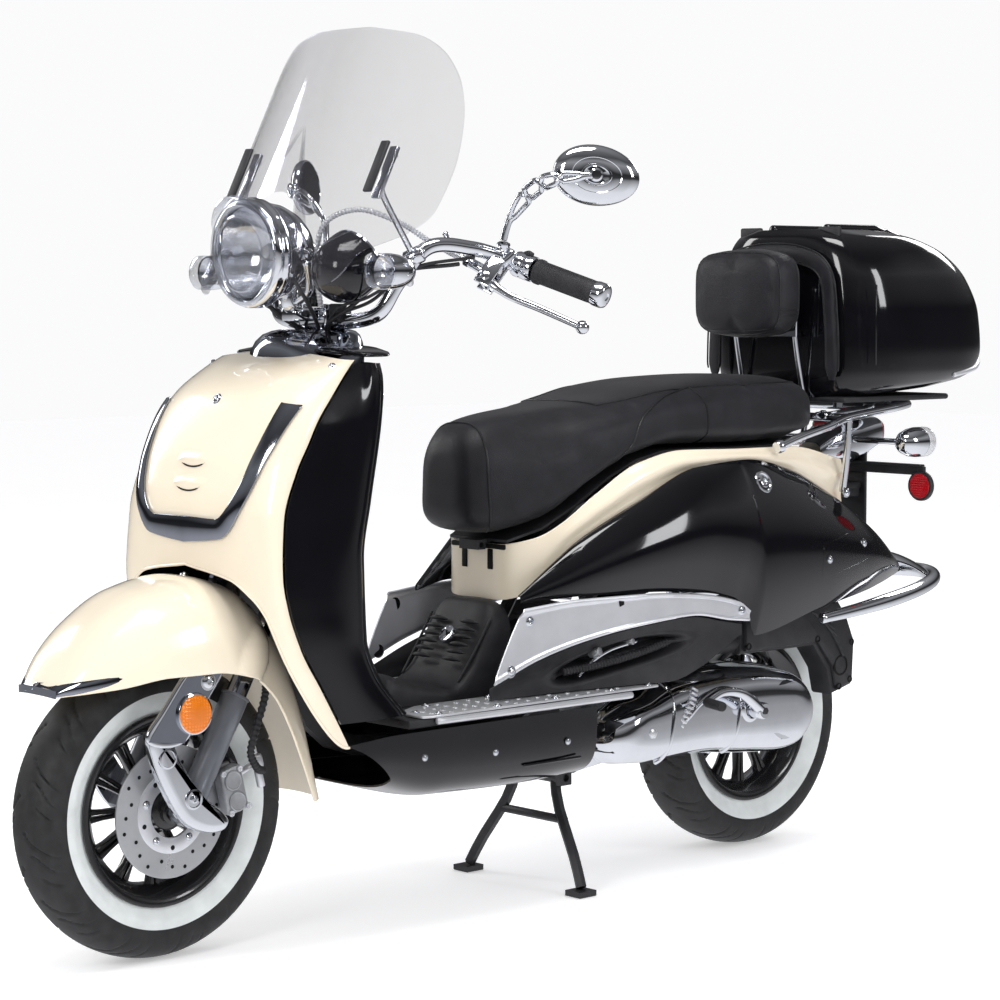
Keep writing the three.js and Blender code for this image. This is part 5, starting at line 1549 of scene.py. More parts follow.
levels = [
    (667, 92, 64), (664, 97, 69), (655, 101, 71.5), (640, 102, 72), (625, 101, 72), (612, 97, 69),
    (604, 90, 63), (600, 78, 52), (598.5, 50, 34), (598, 20, 14)
]
ring_list = [pad_ring(y, w, h) for y, w, h in levels]
back = cushion("backrest_vinyl", ring_list, [VINYL], 5.0, 3.0, 3.5)
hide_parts("backrest_pad")
backrest_seams = Shape()
for yv, w, h in ((612, 98, 70), (656, 101.5, 72)):
    on = shrink_to(back, pad_ring(yv, w, h, 120), 0.4)
    backrest_seams.add(*tube(np.vstack([on, on[:1]]), 1.3, m=8, smooth=False, cap=False))
for zz in (918, 909):
    for s in (-1, 1):
        on = shrink_to(back, np.array([(s * 104, y, zz) for y in np.linspace(612, 656, 24)]), 0.25)
        backrest_seams.add(*tube(on, 0.9, m=8, smooth=False))
for q in shrink_to(back, np.array([(x, 598, 878) for x in np.linspace(-74, 74, 30)]), 0.3):
    backrest_seams.add(*slab(q[0] - 1.5, q[0] + 1.5, q[1] - 0.6, q[1] + 0.5, q[2] - 0.6, q[2] + 0.6,
    r=0.3), 1)
backrest_seams.make("backrest_piping", "seat", [PIPING, THREAD])

backrest_rails = Shape()
for s in (-1, 1):
    backrest_rails.add(*tube(
        [
            (s * 68, 690, 692), (s * 68, 705, 704), (s * 68, 711, 750), (s * 68, 700, 795),
            (s * 68, 682, 884), (s * 68, 678, 958)
        ],
        5, 60, 16
    ))
    backrest_rails.add(*lathe([(0, 0), (9, 0), (9, 4), (6, 6), (0, 6.4)], (s * 68, 677, 900), (0, 1, 0), 24))
    backrest_rails.add(*bolt((s * 60, 676, 691), (0, 0, 1), 6, 4))
backrest_rails.add(*tube([(-68, 682, 880), (0, 682, 880), (68, 682, 880)], 5, 20, 16))
backrest_rails.add(*slab(-80, 80, 672.5, 677, 872, 990, r=2))
backrest_rails.add(*slab(-74, 74, 655, 698, 687.2, 691, r=1.5))
backrest_rails.make("backrest_rails", "seat", [CHROME], ["backrest_frame"], sharp=40, slot="chrome")

# ---------- handlebar, levers and mirrors ----------
GRIP_IN, GRIP_OUT = np.array([232, -88, 983.5]), np.array([346, -52, 944.0])
GRIP_DIR = unit(GRIP_OUT - GRIP_IN)
GRIP_LEN = float(np.linalg.norm(GRIP_OUT - GRIP_IN))


def grip_point(s):
    """A point on the left grip's axis, s out from its inner end."""
    return GRIP_IN + GRIP_DIR * s


BAR = [
    (0, -292, 903), (62, -298, 905), (118, -284, 918), (138, -264, 962), (158, -222, 1014), (181, -160, 1013),
    (198, -112, 1000), tuple(grip_point(-18)), tuple(grip_point(0)), tuple(grip_point(60)),
    tuple(grip_point(GRIP_LEN)),
]
LEVER_PIVOT, LEVER_TIP = np.array([196, -142, 966.0]), np.array([340, -86, 898.0])
ALONG = unit(LEVER_TIP - LEVER_PIVOT)
AXIS = unit(np.cross(ALONG, GRIP_OUT - LEVER_TIP))
PULL = np.cross(AXIS, ALONG)
LEVER_BASIS = np.column_stack([ALONG, PULL, AXIS])


def at_lever(made):
    """A part drawn along the lever, across it and on its pivot, put in place."""
    return turned_to(made[0], LEVER_BASIS, LEVER_PIVOT), made[1]


bars = Shape()
path = [(-x, y, z) for x, y, z in BAR[:0:-1]] + BAR
bars.add(*tube(path, 11, 260, 28))
bars.add(*slab(-34, 34, -316, -264, 895, 926, r=6))
for x in (-22, 22):
    for y in (-306, -274):
        bars.add(*lathe(
            [(0, 0), (6.4, 0), (6.4, 5), (5.4, 6), (3.6, 6), (3.2, 3), (0, 3)], (x, y, 925), (0, 0, 1),
            20
        ))
half = Shape()
half.add(*at_lever(slab(-13, 13, -13, 34, 9, 14, r=1.6)))
half.add(*at_lever(slab(-13, 13, -13, 34, -14, -9, r=1.6)))
half.add(*at_lever(slab(-12, 12, 15, 36, -13.5, 13.5, r=3)))
half.add(*at_lever(rod((0, 0, -16), (0, 0, 16), 4.6, 20)))
half.add(*at_lever(lathe([(0, 0), (7.5, 0), (7.5, 4), (5, 5), (0, 5)], (0, 0, 13.5), (0, 0, 1), 6)))
# switch housing: two half shells with a parting line, standing proud at the seam
shell = [
    (13, 0), (18.2, 0.6), (19.2, 3), (19.4, 14), (18.8, 16), (18.8, 17), (19.4, 19), (19.2, 31),
    (18.0, 33.6), (13, 34)
]
half.add(*lathe(shell, grip_point(-26), GRIP_DIR, 40))
half.add(*rod(grip_point(-60), grip_point(-34), 15.2, 30))
half.add(*rod((200, -108, 1000), (207, -119, 1020), 8, 24))
half.add(*lathe(
    [(0, 0), (10, 0), (10.5, 1.6), (9.5, 4.4), (6.2, 5)], (206.5, -119, 1017), (0.3, -0.1, 1), 6
))
half.add(*at_lever(tube([(0, 26, 0), (6, 40, 0), (10, 56, 0)], 9.5, 12, 20)))
# master cylinder or cable adjuster in line with the lever
half.add(*at_lever(rod((-46, 14, 0), (-8, 12, 0), 7.6, 24)))
half.add(*at_lever(lathe([(9.2, 0), (9.2, 7), (7, 9), (0, 9)], (-40, 14, 0), (-1, 0.05, 0), 6)))
half.add(*at_lever(tube([(-50, 14, 0), (-72, 20, 4), (-96, 34, 10)], 4.4, 18, 14)))
# stay of the screen and its bracket
half.add(*tube([(150, -244, 1000), (152, -262, 1024), (160, -310, 1086), (161, -314, 1094)], 4.6, 30, 14))
half.add(*rod((140, -252, 994), (160, -236, 1006), 13, 28))
half.add(*bolt((161, -238, 1006), (0.8, 0.6, 0), 5.6, 4))
half.also_mirrored()
bars.join(half)
bars.make("handlebar_tube", "steering", [CHROME], ["handlebar"], sharp=38, slot="chrome")

BUTTON_AXIS = unit(np.array([0, 1, 0]) - GRIP_DIR * GRIP_DIR[1])
switches = Shape()
for a, s0, r in ((0.0, -6, 5), (0.6, 2, 4)):
    d = unit(BUTTON_AXIS * math.cos(a) + np.cross(GRIP_DIR, BUTTON_AXIS) * math.sin(a))
    switches.add(*rod(grip_point(s0 - 8) + d * 17, grip_point(s0 - 8) + d * 22, r, 16))
top = unit(np.cross(GRIP_DIR, BUTTON_AXIS))
top = top if top[2] > 0 else -top
switches.add(*tube([grip_point(-14) + top * 18, grip_point(-8) + top * 21, grip_point(-2) + top * 20], 4,
12, 12))
switches.add(*lathe([(12, 0), (17.6, 0.4), (18, 2), (18, 6), (17, 7.6), (12, 8)], grip_point(-3.4),
GRIP_DIR, 36))
switches.make("switches_left", "steering", [MATTE])
# screen clamps: a dark rubber face in front of the sheet and a chrome plate behind it
CLAMP_AT = np.array([161, -318, 1126.0])
clamp_cos, clamp_sin = math.cos(-0.4636), math.sin(-0.4636)
CLAMP_BASIS = np.column_stack([(1, 0, 0), (0, clamp_cos, clamp_sin), (0, -clamp_sin, clamp_cos)])
clamps = Shape()
for s in (1, -1):
    flip = np.array([s, 1, 1])
    made = slab(-9, 9, 9.5, 16, -42, 42, r=2)
    clamps.add(turned_to(made[0], CLAMP_BASIS, CLAMP_AT) * flip, made[1], 0)
    made = slab(-8.6, 8.6, -9, -3.5, -41, 41, r=2)
    clamps.add(turned_to(made[0], CLAMP_BASIS, CLAMP_AT) * flip, made[1], 1)
    for zz in (-28, 28):
        made = lathe([(0, 0), (6, 0), (6, 4), (4, 5), (0, 5)], (0, 15.5, zz), (0, 1, 0), 6)
        clamps.add(turned_to(made[0], CLAMP_BASIS, CLAMP_AT) * flip, made[1], 0)
clamps.make("screen_clamps", "steering", [CHROME, MATTE], sharp=38)

# grips with ribs and chrome ends
def grip_shape(flip):
    s = Shape()
    prof = [(13.4, 12), (18.4, 12.2), (19, 14), (19, 20), (17.4, 22)]
    for k in range(26):
        x = 24 + k * 3.2
        prof += [(17.0, x), (17.35, x + 0.7), (17.35, x + 2.2), (17.0, x + 2.9)]
    prof += [(17.6, GRIP_LEN - 10), (17.6, GRIP_LEN - 9)]
    s.add(*lathe(prof + [(13.2, GRIP_LEN - 9)], GRIP_IN, GRIP_DIR, 40))
    end = [
        (13, GRIP_LEN - 12), (18.2, GRIP_LEN - 11), (18.6, GRIP_LEN - 9), (18.6, GRIP_LEN + 2),
        (17, GRIP_LEN + 6), (13, GRIP_LEN + 7.8), (6, GRIP_LEN + 8), (5, GRIP_LEN + 6.4),
        (0, GRIP_LEN + 6.2)
    ]
    s.add(*lathe(end, GRIP_IN, GRIP_DIR, 40), 1)
    return s if flip > 0 else s.mirrored()


grip_shape(1).make(
    "grip_rubber_left", "steering", [GRIP, CHROME], ["grip_left"], sharp=45, slot="grip_rubber"
)
grip_shape(-1).make(
    "grip_rubber_right", "throttle", [GRIP, CHROME], ["throttle_grip"], sharp=45, slot="grip_rubber"
)

reach = float(np.linalg.norm(LEVER_TIP - LEVER_PIVOT))
lever = Shape()
blade = spline(
    [(4, 0, 0), (24, -4, 0), (45, -6.2, 0), (95, -3, 0), (reach - 6, -0.4, 0)], np.linspace(0, 1, 61)
)
rings = []
for i, c in enumerate(blade):
    t = i / 60
    w = lerp(6.0, 4.6, t) + 1.6 * math.exp(-(((t - 0.10) / 0.12) ** 2))
    h = lerp(8.0, 5.2, t) + 1.8 * math.exp(-(((t - 0.05) / 0.1) ** 2))
    a = turns(28)
    rings.append(stack(np.full(28, c[0]), c[1] + w * squarish(np.cos(a), 3), h * squarish(np.sin(a), 3)))
lever.add(*at_lever(loft(rings)))
lever.add(*at_lever(lathe(
    [(5.4, -8), (10.4, -8), (11.2, -7), (11.2, 7), (10.4, 8), (5.4, 8)], (0, 0, 0), (0, 0, 1), 36, True
)))
ball = [(0, -10)] + [(
    10 * math.sin(a), -10 * math.cos(a)
) for a in np.linspace(0.15, math.pi - 0.15, 24)] + [(0, 10)]
lever.add(*at_lever(lathe(ball, (reach, 0, 0), (1, 0, 0), 32)))
lever_r = lever.mirrored()
lever.make("lever_blade_left", "lever_l", [CHROME], ["brake_lever_left"], sharp=38, slot="chrome")
lever_r.make("lever_blade_right", "lever_r", [CHROME], ["brake_lever_right"], sharp=38, slot="chrome")


# mirrors: stem, slotted arm and an oval head with stepped rings on its back
def mirror_shape():
    s = Shape()
    s.add(*tube([(208, -120, 1026), (211, -118, 1040), (216, -114, 1060)], 5.4, 16, 18))
    arm_mid = spline(
        [(214, -115, 1052), (236, -112, 1078), (266, -115, 1098), (306, -114, 1111), (344, -76, 1117)],
        np.linspace(0, 1, 61)
    )
    tang = np.gradient(arm_mid, axis=0)
    for k in (-1, 1):
        rail = []
        for i, (c, t) in enumerate(zip(arm_mid, tang)):
            side = unit(np.cross(unit(t), (0.7, -0.7, 0)))
            f = i / 60
            spread = 8.5 * math.sin(math.pi * np.clip(f * 1.1 - 0.05, 0.001, 0.999)) ** 0.5
            pinch = 1 - sum(0.98 * math.exp(-(((f - at) / 0.022) ** 2)) for at in (0.38, 0.62, 0.80))
            rail.append(c + side * k * (spread * max(pinch, 0.0) + 0.8))
        s.add(*tube(np.array(rail), 4.0, m=14, smooth=False))
    # head: an oval bowl turned out and forwards, its glass towards the rider
    turn, tilt = math.radians(55), math.radians(8)
    front = np.array([math.sin(turn), -math.cos(turn), 0])
    flat = np.array([math.cos(turn), math.sin(turn), 0])
    ex = flat * math.cos(tilt) - np.array([0, 0, math.sin(tilt)])
    ez = flat * math.sin(tilt) + np.array([0, 0, math.cos(tilt)])
    centre = np.array([338, -60, 1118.0])
    a = turns(96)

    def oval(depth, k, egg=0.05):
        e = 1 + egg * np.cos(a)
        return centre + front * depth + np.outer(np.cos(a) * 64 * k * e,
        ex) + np.outer(np.sin(a) * 44 * k, ez)

    steps = (
        (-7.0, 0.93), (-8.6, 0.955), (-7.6, 0.985), (-4.5, 1.0), (0, 0.985), (5, 0.91), (9, 0.76),
        (11, 0.62), (11.6, 0.58),
        (11.0, 0.56), (12.4, 0.46), (12.8, 0.36), (14.0, 0.34), (14.2, 0.30), (13.2, 0.27), (13.4, 0.10),
    )
    s.add(*loft([oval(d, k) for d, k in steps]))
    s.add(
        *loft([
            oval(-d, k) for d, k in ((6.2, 0.95), (7.8, 0.945), (8.2, 0.90), (8.5, 0.5), (8.6, 0.1))
        ]),
        1
    )
    s.add(*lathe([(0, 0), (10, 0), (10, 5), (7, 8), (0, 8.4)], centre + front * 10, front, 28))
    return s


ml = mirror_shape()
mr = ml.mirrored()
ml.make("mirror_head_left", "mirror_l", [CHROME, MIRROR], ["mirror_left"], sharp=32, slot="chrome")
mr.make("mirror_head_right", "mirror_r", [CHROME, MIRROR], ["mirror_right"], sharp=32, slot="chrome")

# ---------- lamps, pods and screen ----------
DOWN4 = math.radians(4)
FACE = np.array([0, -math.cos(DOWN4), -math.sin(DOWN4)])
LAMP = np.array([0, -392, 1008.0])
lamp = Shape()
shell = [(0, -62), (14, -61), (30, -56.5), (46, -46), (58, -32), (68, -12), (71, 2), (72, 16), (75, 19),
         (79, 22), (80.6, 27), (80.6, 31),
         (79, 34), (79.4, 37), (79.8, 42), (78, 47), (74, 49.6), (70, 50), (67.5, 47), (67, 40)]
lamp.add(*lathe(shell, LAMP, FACE, 96))
lamp.add(*tube([(0, -356, 962), (0, -358, 935), (0, -348, 922)], 12, 24, 24))
lamp.add(*slab(-15, 15, -361, -320, 906, 926, r=3))
lamp.add(*bolt((0, -351, 927), (0, 0, 1), 7, 5))
for s in (-1, 1):
    lamp.add(*tube([(s * 12, -352, 934), (s * 40, -352, 950), (s * 66, -376, 992)], 6, 26, 16))
    lamp.add(*bolt((s * 72, -378, 1004), (s, 0.2, 0), 8, 5))
bowl = [(66, 40), (60, 26), (50, 10), (36, -4), (20, -12), (10, -14), (0, -14)]
lamp.add(*lathe(bowl, LAMP, FACE, 72), 1)
lamp.add(*lathe([(0, -13), (11, -12), (12, 2), (9, 9), (0, 11)], LAMP, FACE, 32), 2)
lamp.make("headlamp_shell", "steering", [CHROME, BULB, SILVER], ["headlamp"], sharp=40, slot="chrome")
glass = Shape()
glass.add(*lathe(
    [(74, 41), (76, 44), (75, 52), (70, 55), (66, 53.5), (56, 56), (38, 58.6), (18, 60), (0, 60.4)],
    LAMP, FACE, 80
))
glass.add(*lathe([(52, 55.2), (54, 58), (56.5, 56.6)], LAMP, FACE, 80))
# peak over the lamp: a swept clear lip
rows = []
for w in np.linspace(0, 1, 10):
    r = []
    for a in np.linspace(math.radians(22), math.radians(158), 61):
        k = math.sin((a - math.radians(22)) / math.radians(136) * math.pi) ** 0.7
        d = 47 + w * 22 * k
        rr = 79.5 + w * 5.5 * k
        r.append(LAMP + FACE * d + np.array([rr * math.cos(a), 0, rr * math.sin(a)]))
    rows.append(r)
glass.add(*plate(np.array(rows), 2.2))
glass.make("headlamp_lens", "steering", [CLEAR], sharp=50)

POD_TILT = math.radians(58)
POD_AXIS = unit((0, math.sin(POD_TILT), math.cos(POD_TILT)))
pods = Shape()
for s in (-1, 1):
    at = (s * 106, -338, 982)
    prof = [
        (0, -46), (12, -45.4), (26, -42), (36, -34), (43, -23), (47, -10), (48.6, 4), (49, 22),
        (48.6, 26), (46.5, 27.5), (46.5, 29.5), (47.2, 30.6)
    ]
    pods.add(*lathe(prof + [(44, 31), (44, 26), (0, 25.4)], at, POD_AXIS, 64))
    pods.add(*lathe([(46.4, 27.5), (47.6, 28), (47.8, 31), (45.4, 32), (43, 31.2)], at, POD_AXIS, 64), 1)
    pods.add(*lathe([(0, 25.6), (43.4, 25.8)], at, POD_AXIS, 48), 2)
    pods.add(*lathe([(0, 30.2), (40, 29.6), (43.8, 28.6)], at, POD_AXIS, 48), 3)
pods.add(*rod((-98, -312, 962), (98, -312, 962), 7, 20))
pods.add(*slab(-10, 10, -318, -306, 927, 966, r=2))
pods.make(
    "pod_cups", "steering", [BLACK, CHROME, HOLE, CLEAR], ["instrument_pods"], sharp=40,
    slot="black_plastic"
)
dial = Shape()
for s in (-1, 1):
    _, b, c = basis(POD_AXIS)
    centre = np.array([s * 106, -338, 982]) + POD_AXIS * 26.4
    for k in range(21):
        a = math.radians(-130 + k * 13) + math.pi / 2
        e = np.cos(a) * b + np.sin(a) * c
        r0 = 31 if k % 5 == 0 else 35
        dial.add(*tube([centre + e * r0, centre + e * 40], 0.8, 3, 6, cap=False))
    e = np.cos(2.4) * b + np.sin(2.4) * c
    dial.add(
        *tube([centre + POD_AXIS * 1.2 - e * 6, centre + POD_AXIS * 1.2 + e * 33], [1.6, 0.6], 6, 8), 1
    )
    dial.add(*lathe([(0, 0), (5, 0), (5, 2.4), (4, 3), (0, 3.2)], centre, POD_AXIS, 24), 2)
dial.make("dial_marks", "steering", [WHITEWALL, RED, MATTE])


def signal(s, at, axis, stalk, name, node, body, colour):
    sh = Shape()
    at = np.array(at, float)
    prof = [
        (0, -40), (8, -39.4), (14, -37), (20, -28), (24.4, -14), (26, 0), (26, 8), (24.6, 9.4),
        (24.4, 12)
    ]
    sh.add(*lathe(prof, at, axis, 48))
    lens_prof = [(23.6, 9), (25.8, 10), (26, 20), (25.6, 27), (22, 30.4), (14, 31.6), (0, 32)]
    sh.add(*lathe(lens_prof, at, axis, 48), 1)
    sh.add(*lathe([(23, 10), (16, 2), (8, -3), (0, -4)], at, axis, 36), 2)
    sh.add(*lathe([(0, -4), (5, -3), (6, 8), (4, 14), (0, 15)], at, axis, 20), 2)
    sh.add(*tube(stalk, 5.4, 20, 16))
    if s < 0:
        sh = sh.mirrored()
    return sh.make(name, body, [CHROME, colour, BULB], [node], sharp=40, slot="chrome")


for s, side in ((1, "left"), (-1, "right")):
    signal(
        s, (209, -340, 978), (0, -1, 0), [(206, -312, 978), (190, -288, 972), (162, -262, 962)],
        f"signal_front_{side}", f"front_signal_{side}", "steering", CLEAR
    )
    signal(
        s, (186, 862, 690), (0, 1, 0), [(186, 848, 690), (130, 850, 690), (60, 852, 690)],
        f"signal_rear_{side}", f"rear_signal_{side}", "chassis", CLEAR
    )

WIND = [
    (944, 104), (953, 138), (970, 160), (990, 169), (1004, 173), (1016, 196), (1032, 226), (1060, 247),
    (1120, 251), (1180, 244), (1240, 226), (1290, 193), (1322, 145), (1338, 62),
]
# a single sheet in polar form round its middle, so that its rim is one smooth line
rim = []
zs = np.concatenate([np.linspace(944, 1300, 90), np.linspace(1303, 1338, 40)])
wide = track(WIND, zs)[:, 0]
right_edge = np.column_stack([wide, zs])
lower = [(x, 944 if x > 92 else 1008 + math.sqrt(max(0, 88**2 - x * x))) for x in np.linspace(104, 0, 30)]
outline = np.vstack([np.array(lower)[::-1], right_edge, [[0, 1338]]])
keep = [outline[0]]
for q in outline[1:]:
    if np.linalg.norm(q - keep[-1]) > 4:
        keep.append(q)
outline = np.array(keep)
dist = np.concatenate([[0], np.cumsum(np.linalg.norm(np.diff(outline, axis=0), axis=1))])
even = np.linspace(0, dist[-1], 150)
outline = np.column_stack([np.interp(even, dist, outline[:, 0]), np.interp(even, dist, outline[:, 1])])
for _ in range(3):
    outline[1:-1] = (outline[:-2] + 2 * outline[1:-1] + outline[2:]) / 4
full = np.vstack([outline, (outline * [-1, 1])[-2:0:-1]])
centre = np.array([0, 1195.0])
rows = []
for k in np.linspace(0.0, 1.0, 36):
    q = centre + (full - centre) * k
    rows.append(np.column_stack([
        q[:, 0], -425 + WIND_RAKE * (q[:, 1] - 1000) + 82 * (q[:, 0] / 220) ** 2, q[:, 1]
    ]))
rows = np.array(rows)
count = rows.shape[1]
front_pts = rows.reshape(-1, 3)
back_pts = front_pts + np.array([0, 3.4, -0.2])
faces = grid_faces(count, len(rows) - 1, True)
offset = len(front_pts)
faces += [[i + offset for i in f][::-1] for f in grid_faces(count, len(rows) - 1, True)]
last = (len(rows) - 1) * count
faces += [[
    last + i, last + (i + 1) % count, offset + last + (i + 1) % count, offset + last + i
] for i in range(count)]
screen = Shape().add(np.vstack([front_pts, back_pts]), faces)
screen.make("screen_sheet", "steering", [SCREEN], ["windshield"], sharp=50, slot="clear_screen")

# steel-wrapped brake hose from the lamp's foot over to the lever, and black cables
hoses = Shape()
arc = [
    (40, -330, 930), (62, -356, 985), (78, -352, 1048), (110, -318, 1068), (138, -262, 1050),
    (148, -214, 1024), (154, -176, 1006), tuple(LEVER_PIVOT + LEVER_BASIS @ [-46, 14, 0])
]
hoses.add(*coil_tube(arc, 4.6, 5.0, 12, 0.16))
hoses.add(*coil_tube([(-x, y, z) for x, y, z in arc], 4.6, 5.0, 12, 0.16))
hoses.make("brake_hoses", "steering", [SILVER], sharp=80, slot="chrome")
cables = Shape()
for s in (1, -1):
    for pts, r in (
        (
            [
                (s * 172, -176, 990), (s * 132, -268, 975), (s * 96, -318, 928), (s * 40, -318, 900),
                (s * 22, -296, 884)
            ],
            3.2
        ),
        (
            [
                (s * 186, -158, 1000), (s * 150, -250, 982), (s * 120, -300, 936), (s * 60, -322, 912),
                (s * 26, -306, 884)
            ],
            2.6
        ),
        ([(s * 60, -396, 968), (s * 52, -366, 936), (s * 30, -330, 905), (s * 12, -308, 884)], 3.0),
        ([(s * 206, -322, 968), (s * 150, -330, 942), (s * 80, -330, 925), (s * 20, -312, 886)], 2.4),
    ):
        cables.add(*tube(pts, r, 50, 10))
cables.make("control_cables", "steering", [MATTE], sharp=80)
stem_boot = Shape()
stem_boot.add(*lathe([(0, -2), (22, -2), (24, 1), (24, 5), (20, 8), (14, 9)], (0, -290, 885), HEAD_AXIS, 40))
for s in (-1, 1):
    stem_boot.add(*slab(s * 52 - 12, s * 52 + 12, -316, -300, 905, 932, r=3))
stem_boot.make("stem_boot", "steering", [MATTE], sharp=50)

# ---------- top box ----------
BOX = [
    (766, 150, 716, 1010), (784, 182, 709, 1062), (815, 194, 707, 1094), (850, 196, 707, 1106),
    (910, 194, 708, 1100),
    (970, 184, 710, 1072), (1015, 164, 712, 1024), (1042, 136, 716, 960), (1056, 92, 728, 900),
]
BOX_SPLIT_Y, BOX_SPLIT_Z = 742, 818


def box_point(z, a, inset=0.0):
    """A point of the top box's skin at a height and an angle."""
    half, front, rear = track(BOX, z)
    half, front, rear = half - inset, front + inset, rear - inset
    c, s = squarish(np.cos(a), 4), squarish(np.sin(a), 3.2)
    x, y = half * c, (front + rear) / 2 + (rear - front) / 2 * s
    rise = max(0.0, (815 - z) / 49)
    return np.array([x, y, z + rise * 0.07 * (y - 707)])


# the lid is every part of the shell behind and above the split; the base is the front frame and the tray
shell_z = np.concatenate([
    np.linspace(767, 815, 12), np.linspace(821, 1042, 50), np.linspace(1045, 1055.5, 5)
])
around = turns(168)
grid = np.array([[box_point(z, a) for a in around] for z in shell_z])
roof = [grid[-1].mean(axis=0) + (grid[-1] - grid[-1].mean(axis=0)) * k + [0, 0,
(1 - k) * 3] for k in (0.9, 0.7, 0.45, 0.2, 0.02)]
grid = np.concatenate([grid, roof])
lid, tray = Shape(), Shape()


def patch(shape, keep, thick=4.0):
    """The faces of the box's skin whose middle passes a test, as a sheet of its own thickness."""
    nu, nv = grid.shape[1], grid.shape[0]
    quads = []
    for j in range(nv - 1):
        for i in range(nu):
            q = [(j, i), (j, (i + 1) % nu), (j + 1, (i + 1) % nu), (j + 1, i)]
            mid = np.mean([grid[a] for a in q], axis=0)
            if keep(mid):
                quads.append(q)
    ids = {p: k for k, p in enumerate(sorted({p for q in quads for p in q}))}
    outer = np.array([grid[p] for p in ids])
    mid = np.array([0, 900, 905.0])
    inner = outer + unit(mid - outer) * thick
    faces = [[ids[p] for p in q] for q in quads]
    edges = {}
    for f in faces:
        for a, b in zip(f, f[1:] + f[:1]):
            edges[(a, b)] = edges.get((a, b), 0) + 1
    rim = [(a, b) for a, b in edges if (b, a) not in edges]
    k = len(outer)
    faces = faces + [[i + k for i in f][::-1] for f in faces] + [[b, a, a + k, b + k] for a, b in rim]
    shape.add(np.vstack([outer, inner]), faces)


patch(lid, lambda m: m[1] > BOX_SPLIT_Y + 2 and m[2] > BOX_SPLIT_Z + 2)
patch(tray, lambda m: m[1] <= BOX_SPLIT_Y + 2 or m[2] <= BOX_SPLIT_Z + 2)
# raised ribs that run back over the roof, and a rim bead round the lid's mouth
for x in (-62, 62):
    line = []
    for y in np.linspace(770, 1060, 40):
        zs = np.linspace(900, 1056, 80)
        z = max((z for z in zs if track(BOX, z)[2] > y and track(BOX, z)[0] > abs(x) + 4), default=None)
        if z is not None:
            line.append((x, y, z))
    rib = np.array(line)
    lid.add(*tube(rib + [0, 0, 0.5], 9, 60, 14), 0)
strip = []
for t in np.linspace(0, 1, 60):
    z = lerp(798, 838, t)
    a = lerp(math.radians(12), math.radians(66), t)
    strip.append(box_point(z, a) + unit(box_point(z, a) - [0, 900, z]) * 0.8)
strips = Shape()
for s in (1, -1):
    strips.add(*tube(np.array(strip) * [s, 1, 1], 4.6, 60, 12, smooth=False))
lid.add(*tube([(195.2 * s, BOX_SPLIT_Y + 3, z) for s, z in ((1, 826), (1, 960))], 1.6, 4, 8, smooth=False))
lock = [(0, 0), (15, 0), (16, 2), (15, 5), (8, 6), (7, 4), (0, 4)]
lid.add(*lathe(lock, (0, 1104, 842), (0, 1, 0.02), 36), 1)
lid.add(*slab(-34, 34, 1090, 1108, 822, 834, r=3), 2)
lid.make("box_lid_shell", "lid", [BLACK, CHROME, MATTE], ["box_lid"], sharp=42, slot="black_gloss")
strips.make("box_strips", "lid", [SILVER], sharp=60)
for x in (-1, 1):
    tray.add(*slab(x * 90 - 24, x * 90 + 24, 741, 750, 1036, 1060, r=3), 1)
tray.add(*slab(-150, 150, 720, 1000, 760, 770, r=4), 1)
for x in (-100, 100):
    for y in (760, 900):
        tray.add(*lathe([(0, -6), (9, -6), (9, 4), (7, 6), (0, 6)], (x, y, 757), (0, 0, 1), 24), 2)
tray.make("box_tray", "chassis", [BLACK, MATTE, CHROME], ["box_base"], sharp=42, slot="black_gloss")

# padded arch on the box's front, with a bead of piping along both edges
PAD_HALF = [(138, 701, 798), (134, 701, 900), (116, 702, 985), (60, 703, 1012)]
arch_path = PAD_HALF + [(-x, y, z) for x, y, z in PAD_HALF[::-1]]


def arch_section(half_width, half_depth, n=28, steps=130):
    """Rings of the padded arch along its path."""
    mids = spline(arch_path, np.linspace(0, 1, steps + 1))
    run = np.gradient(mids, axis=0)
    rings = []
    for i, (p, t) in enumerate(zip(mids, run)):
        side = unit(np.cross(unit(t), (0, 1, 0)))
        end = min(1.0, min(i, steps - i) / 5 + 0.12) ** 0.5
        a = turns(n)
        off = np.outer(half_width * end * squarish(np.cos(a), 2.6), side)
        off = off + np.outer(half_depth * end * squarish(np.sin(a), 2.2), (0, 1, 0))
        rings.append(p + off)
    return rings


arch = cushion("box_arch_pad", arch_section(15.4, 3.6), [VINYL], 4.0, 3.0, 2.5, body="chassis")
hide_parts("box_pad")
beads = Shape()
line = np.array(arch_section(14.6, 3.2))
for k in (0, 14):
    edge = line[3:-3, k] + [0, -1.2, 0]
    beads.add(*tube(edge, 1.5, 120, 8, smooth=False))
beads.make("arch_piping", "chassis", [PIPING], sharp=80)

# ---------- rack, tail and plate bracket ----------
rack = Shape()
rail = [
    (159, 546, 694), (158, 600, 708), (151, 680, 723), (142, 733, 734), (142, 860, 748), (118, 925, 752)
]
rack.add(*tube(rail, 7.2, 90, 20))
rack.add(*tube([(142, 740, 735), (136, 742, 670), (125, 744, 608)], 6.2, 30, 18))
rack.add(*lathe(
    [(0, -9), (9, -9), (11, -6), (11, 2), (7, 6), (0, 6)], (159, 546, 694), (0.05, 1, 0.25), 28
))
rack.add(*bolt((134, 744, 606), (1, 0, 0), 6.5, 4))
rack.also_mirrored()
for y, z in ((733, 734), (860, 748)):
    rack.add(*rod((-142, y, z), (142, y, z), 7, 22))
rack.add(*rod((-119, 924, 752), (119, 924, 752), 8, 24))
for x in (-90, 90):
    rack.add(*rod((x, 733, 736), (x, 924, 752), 6, 20))
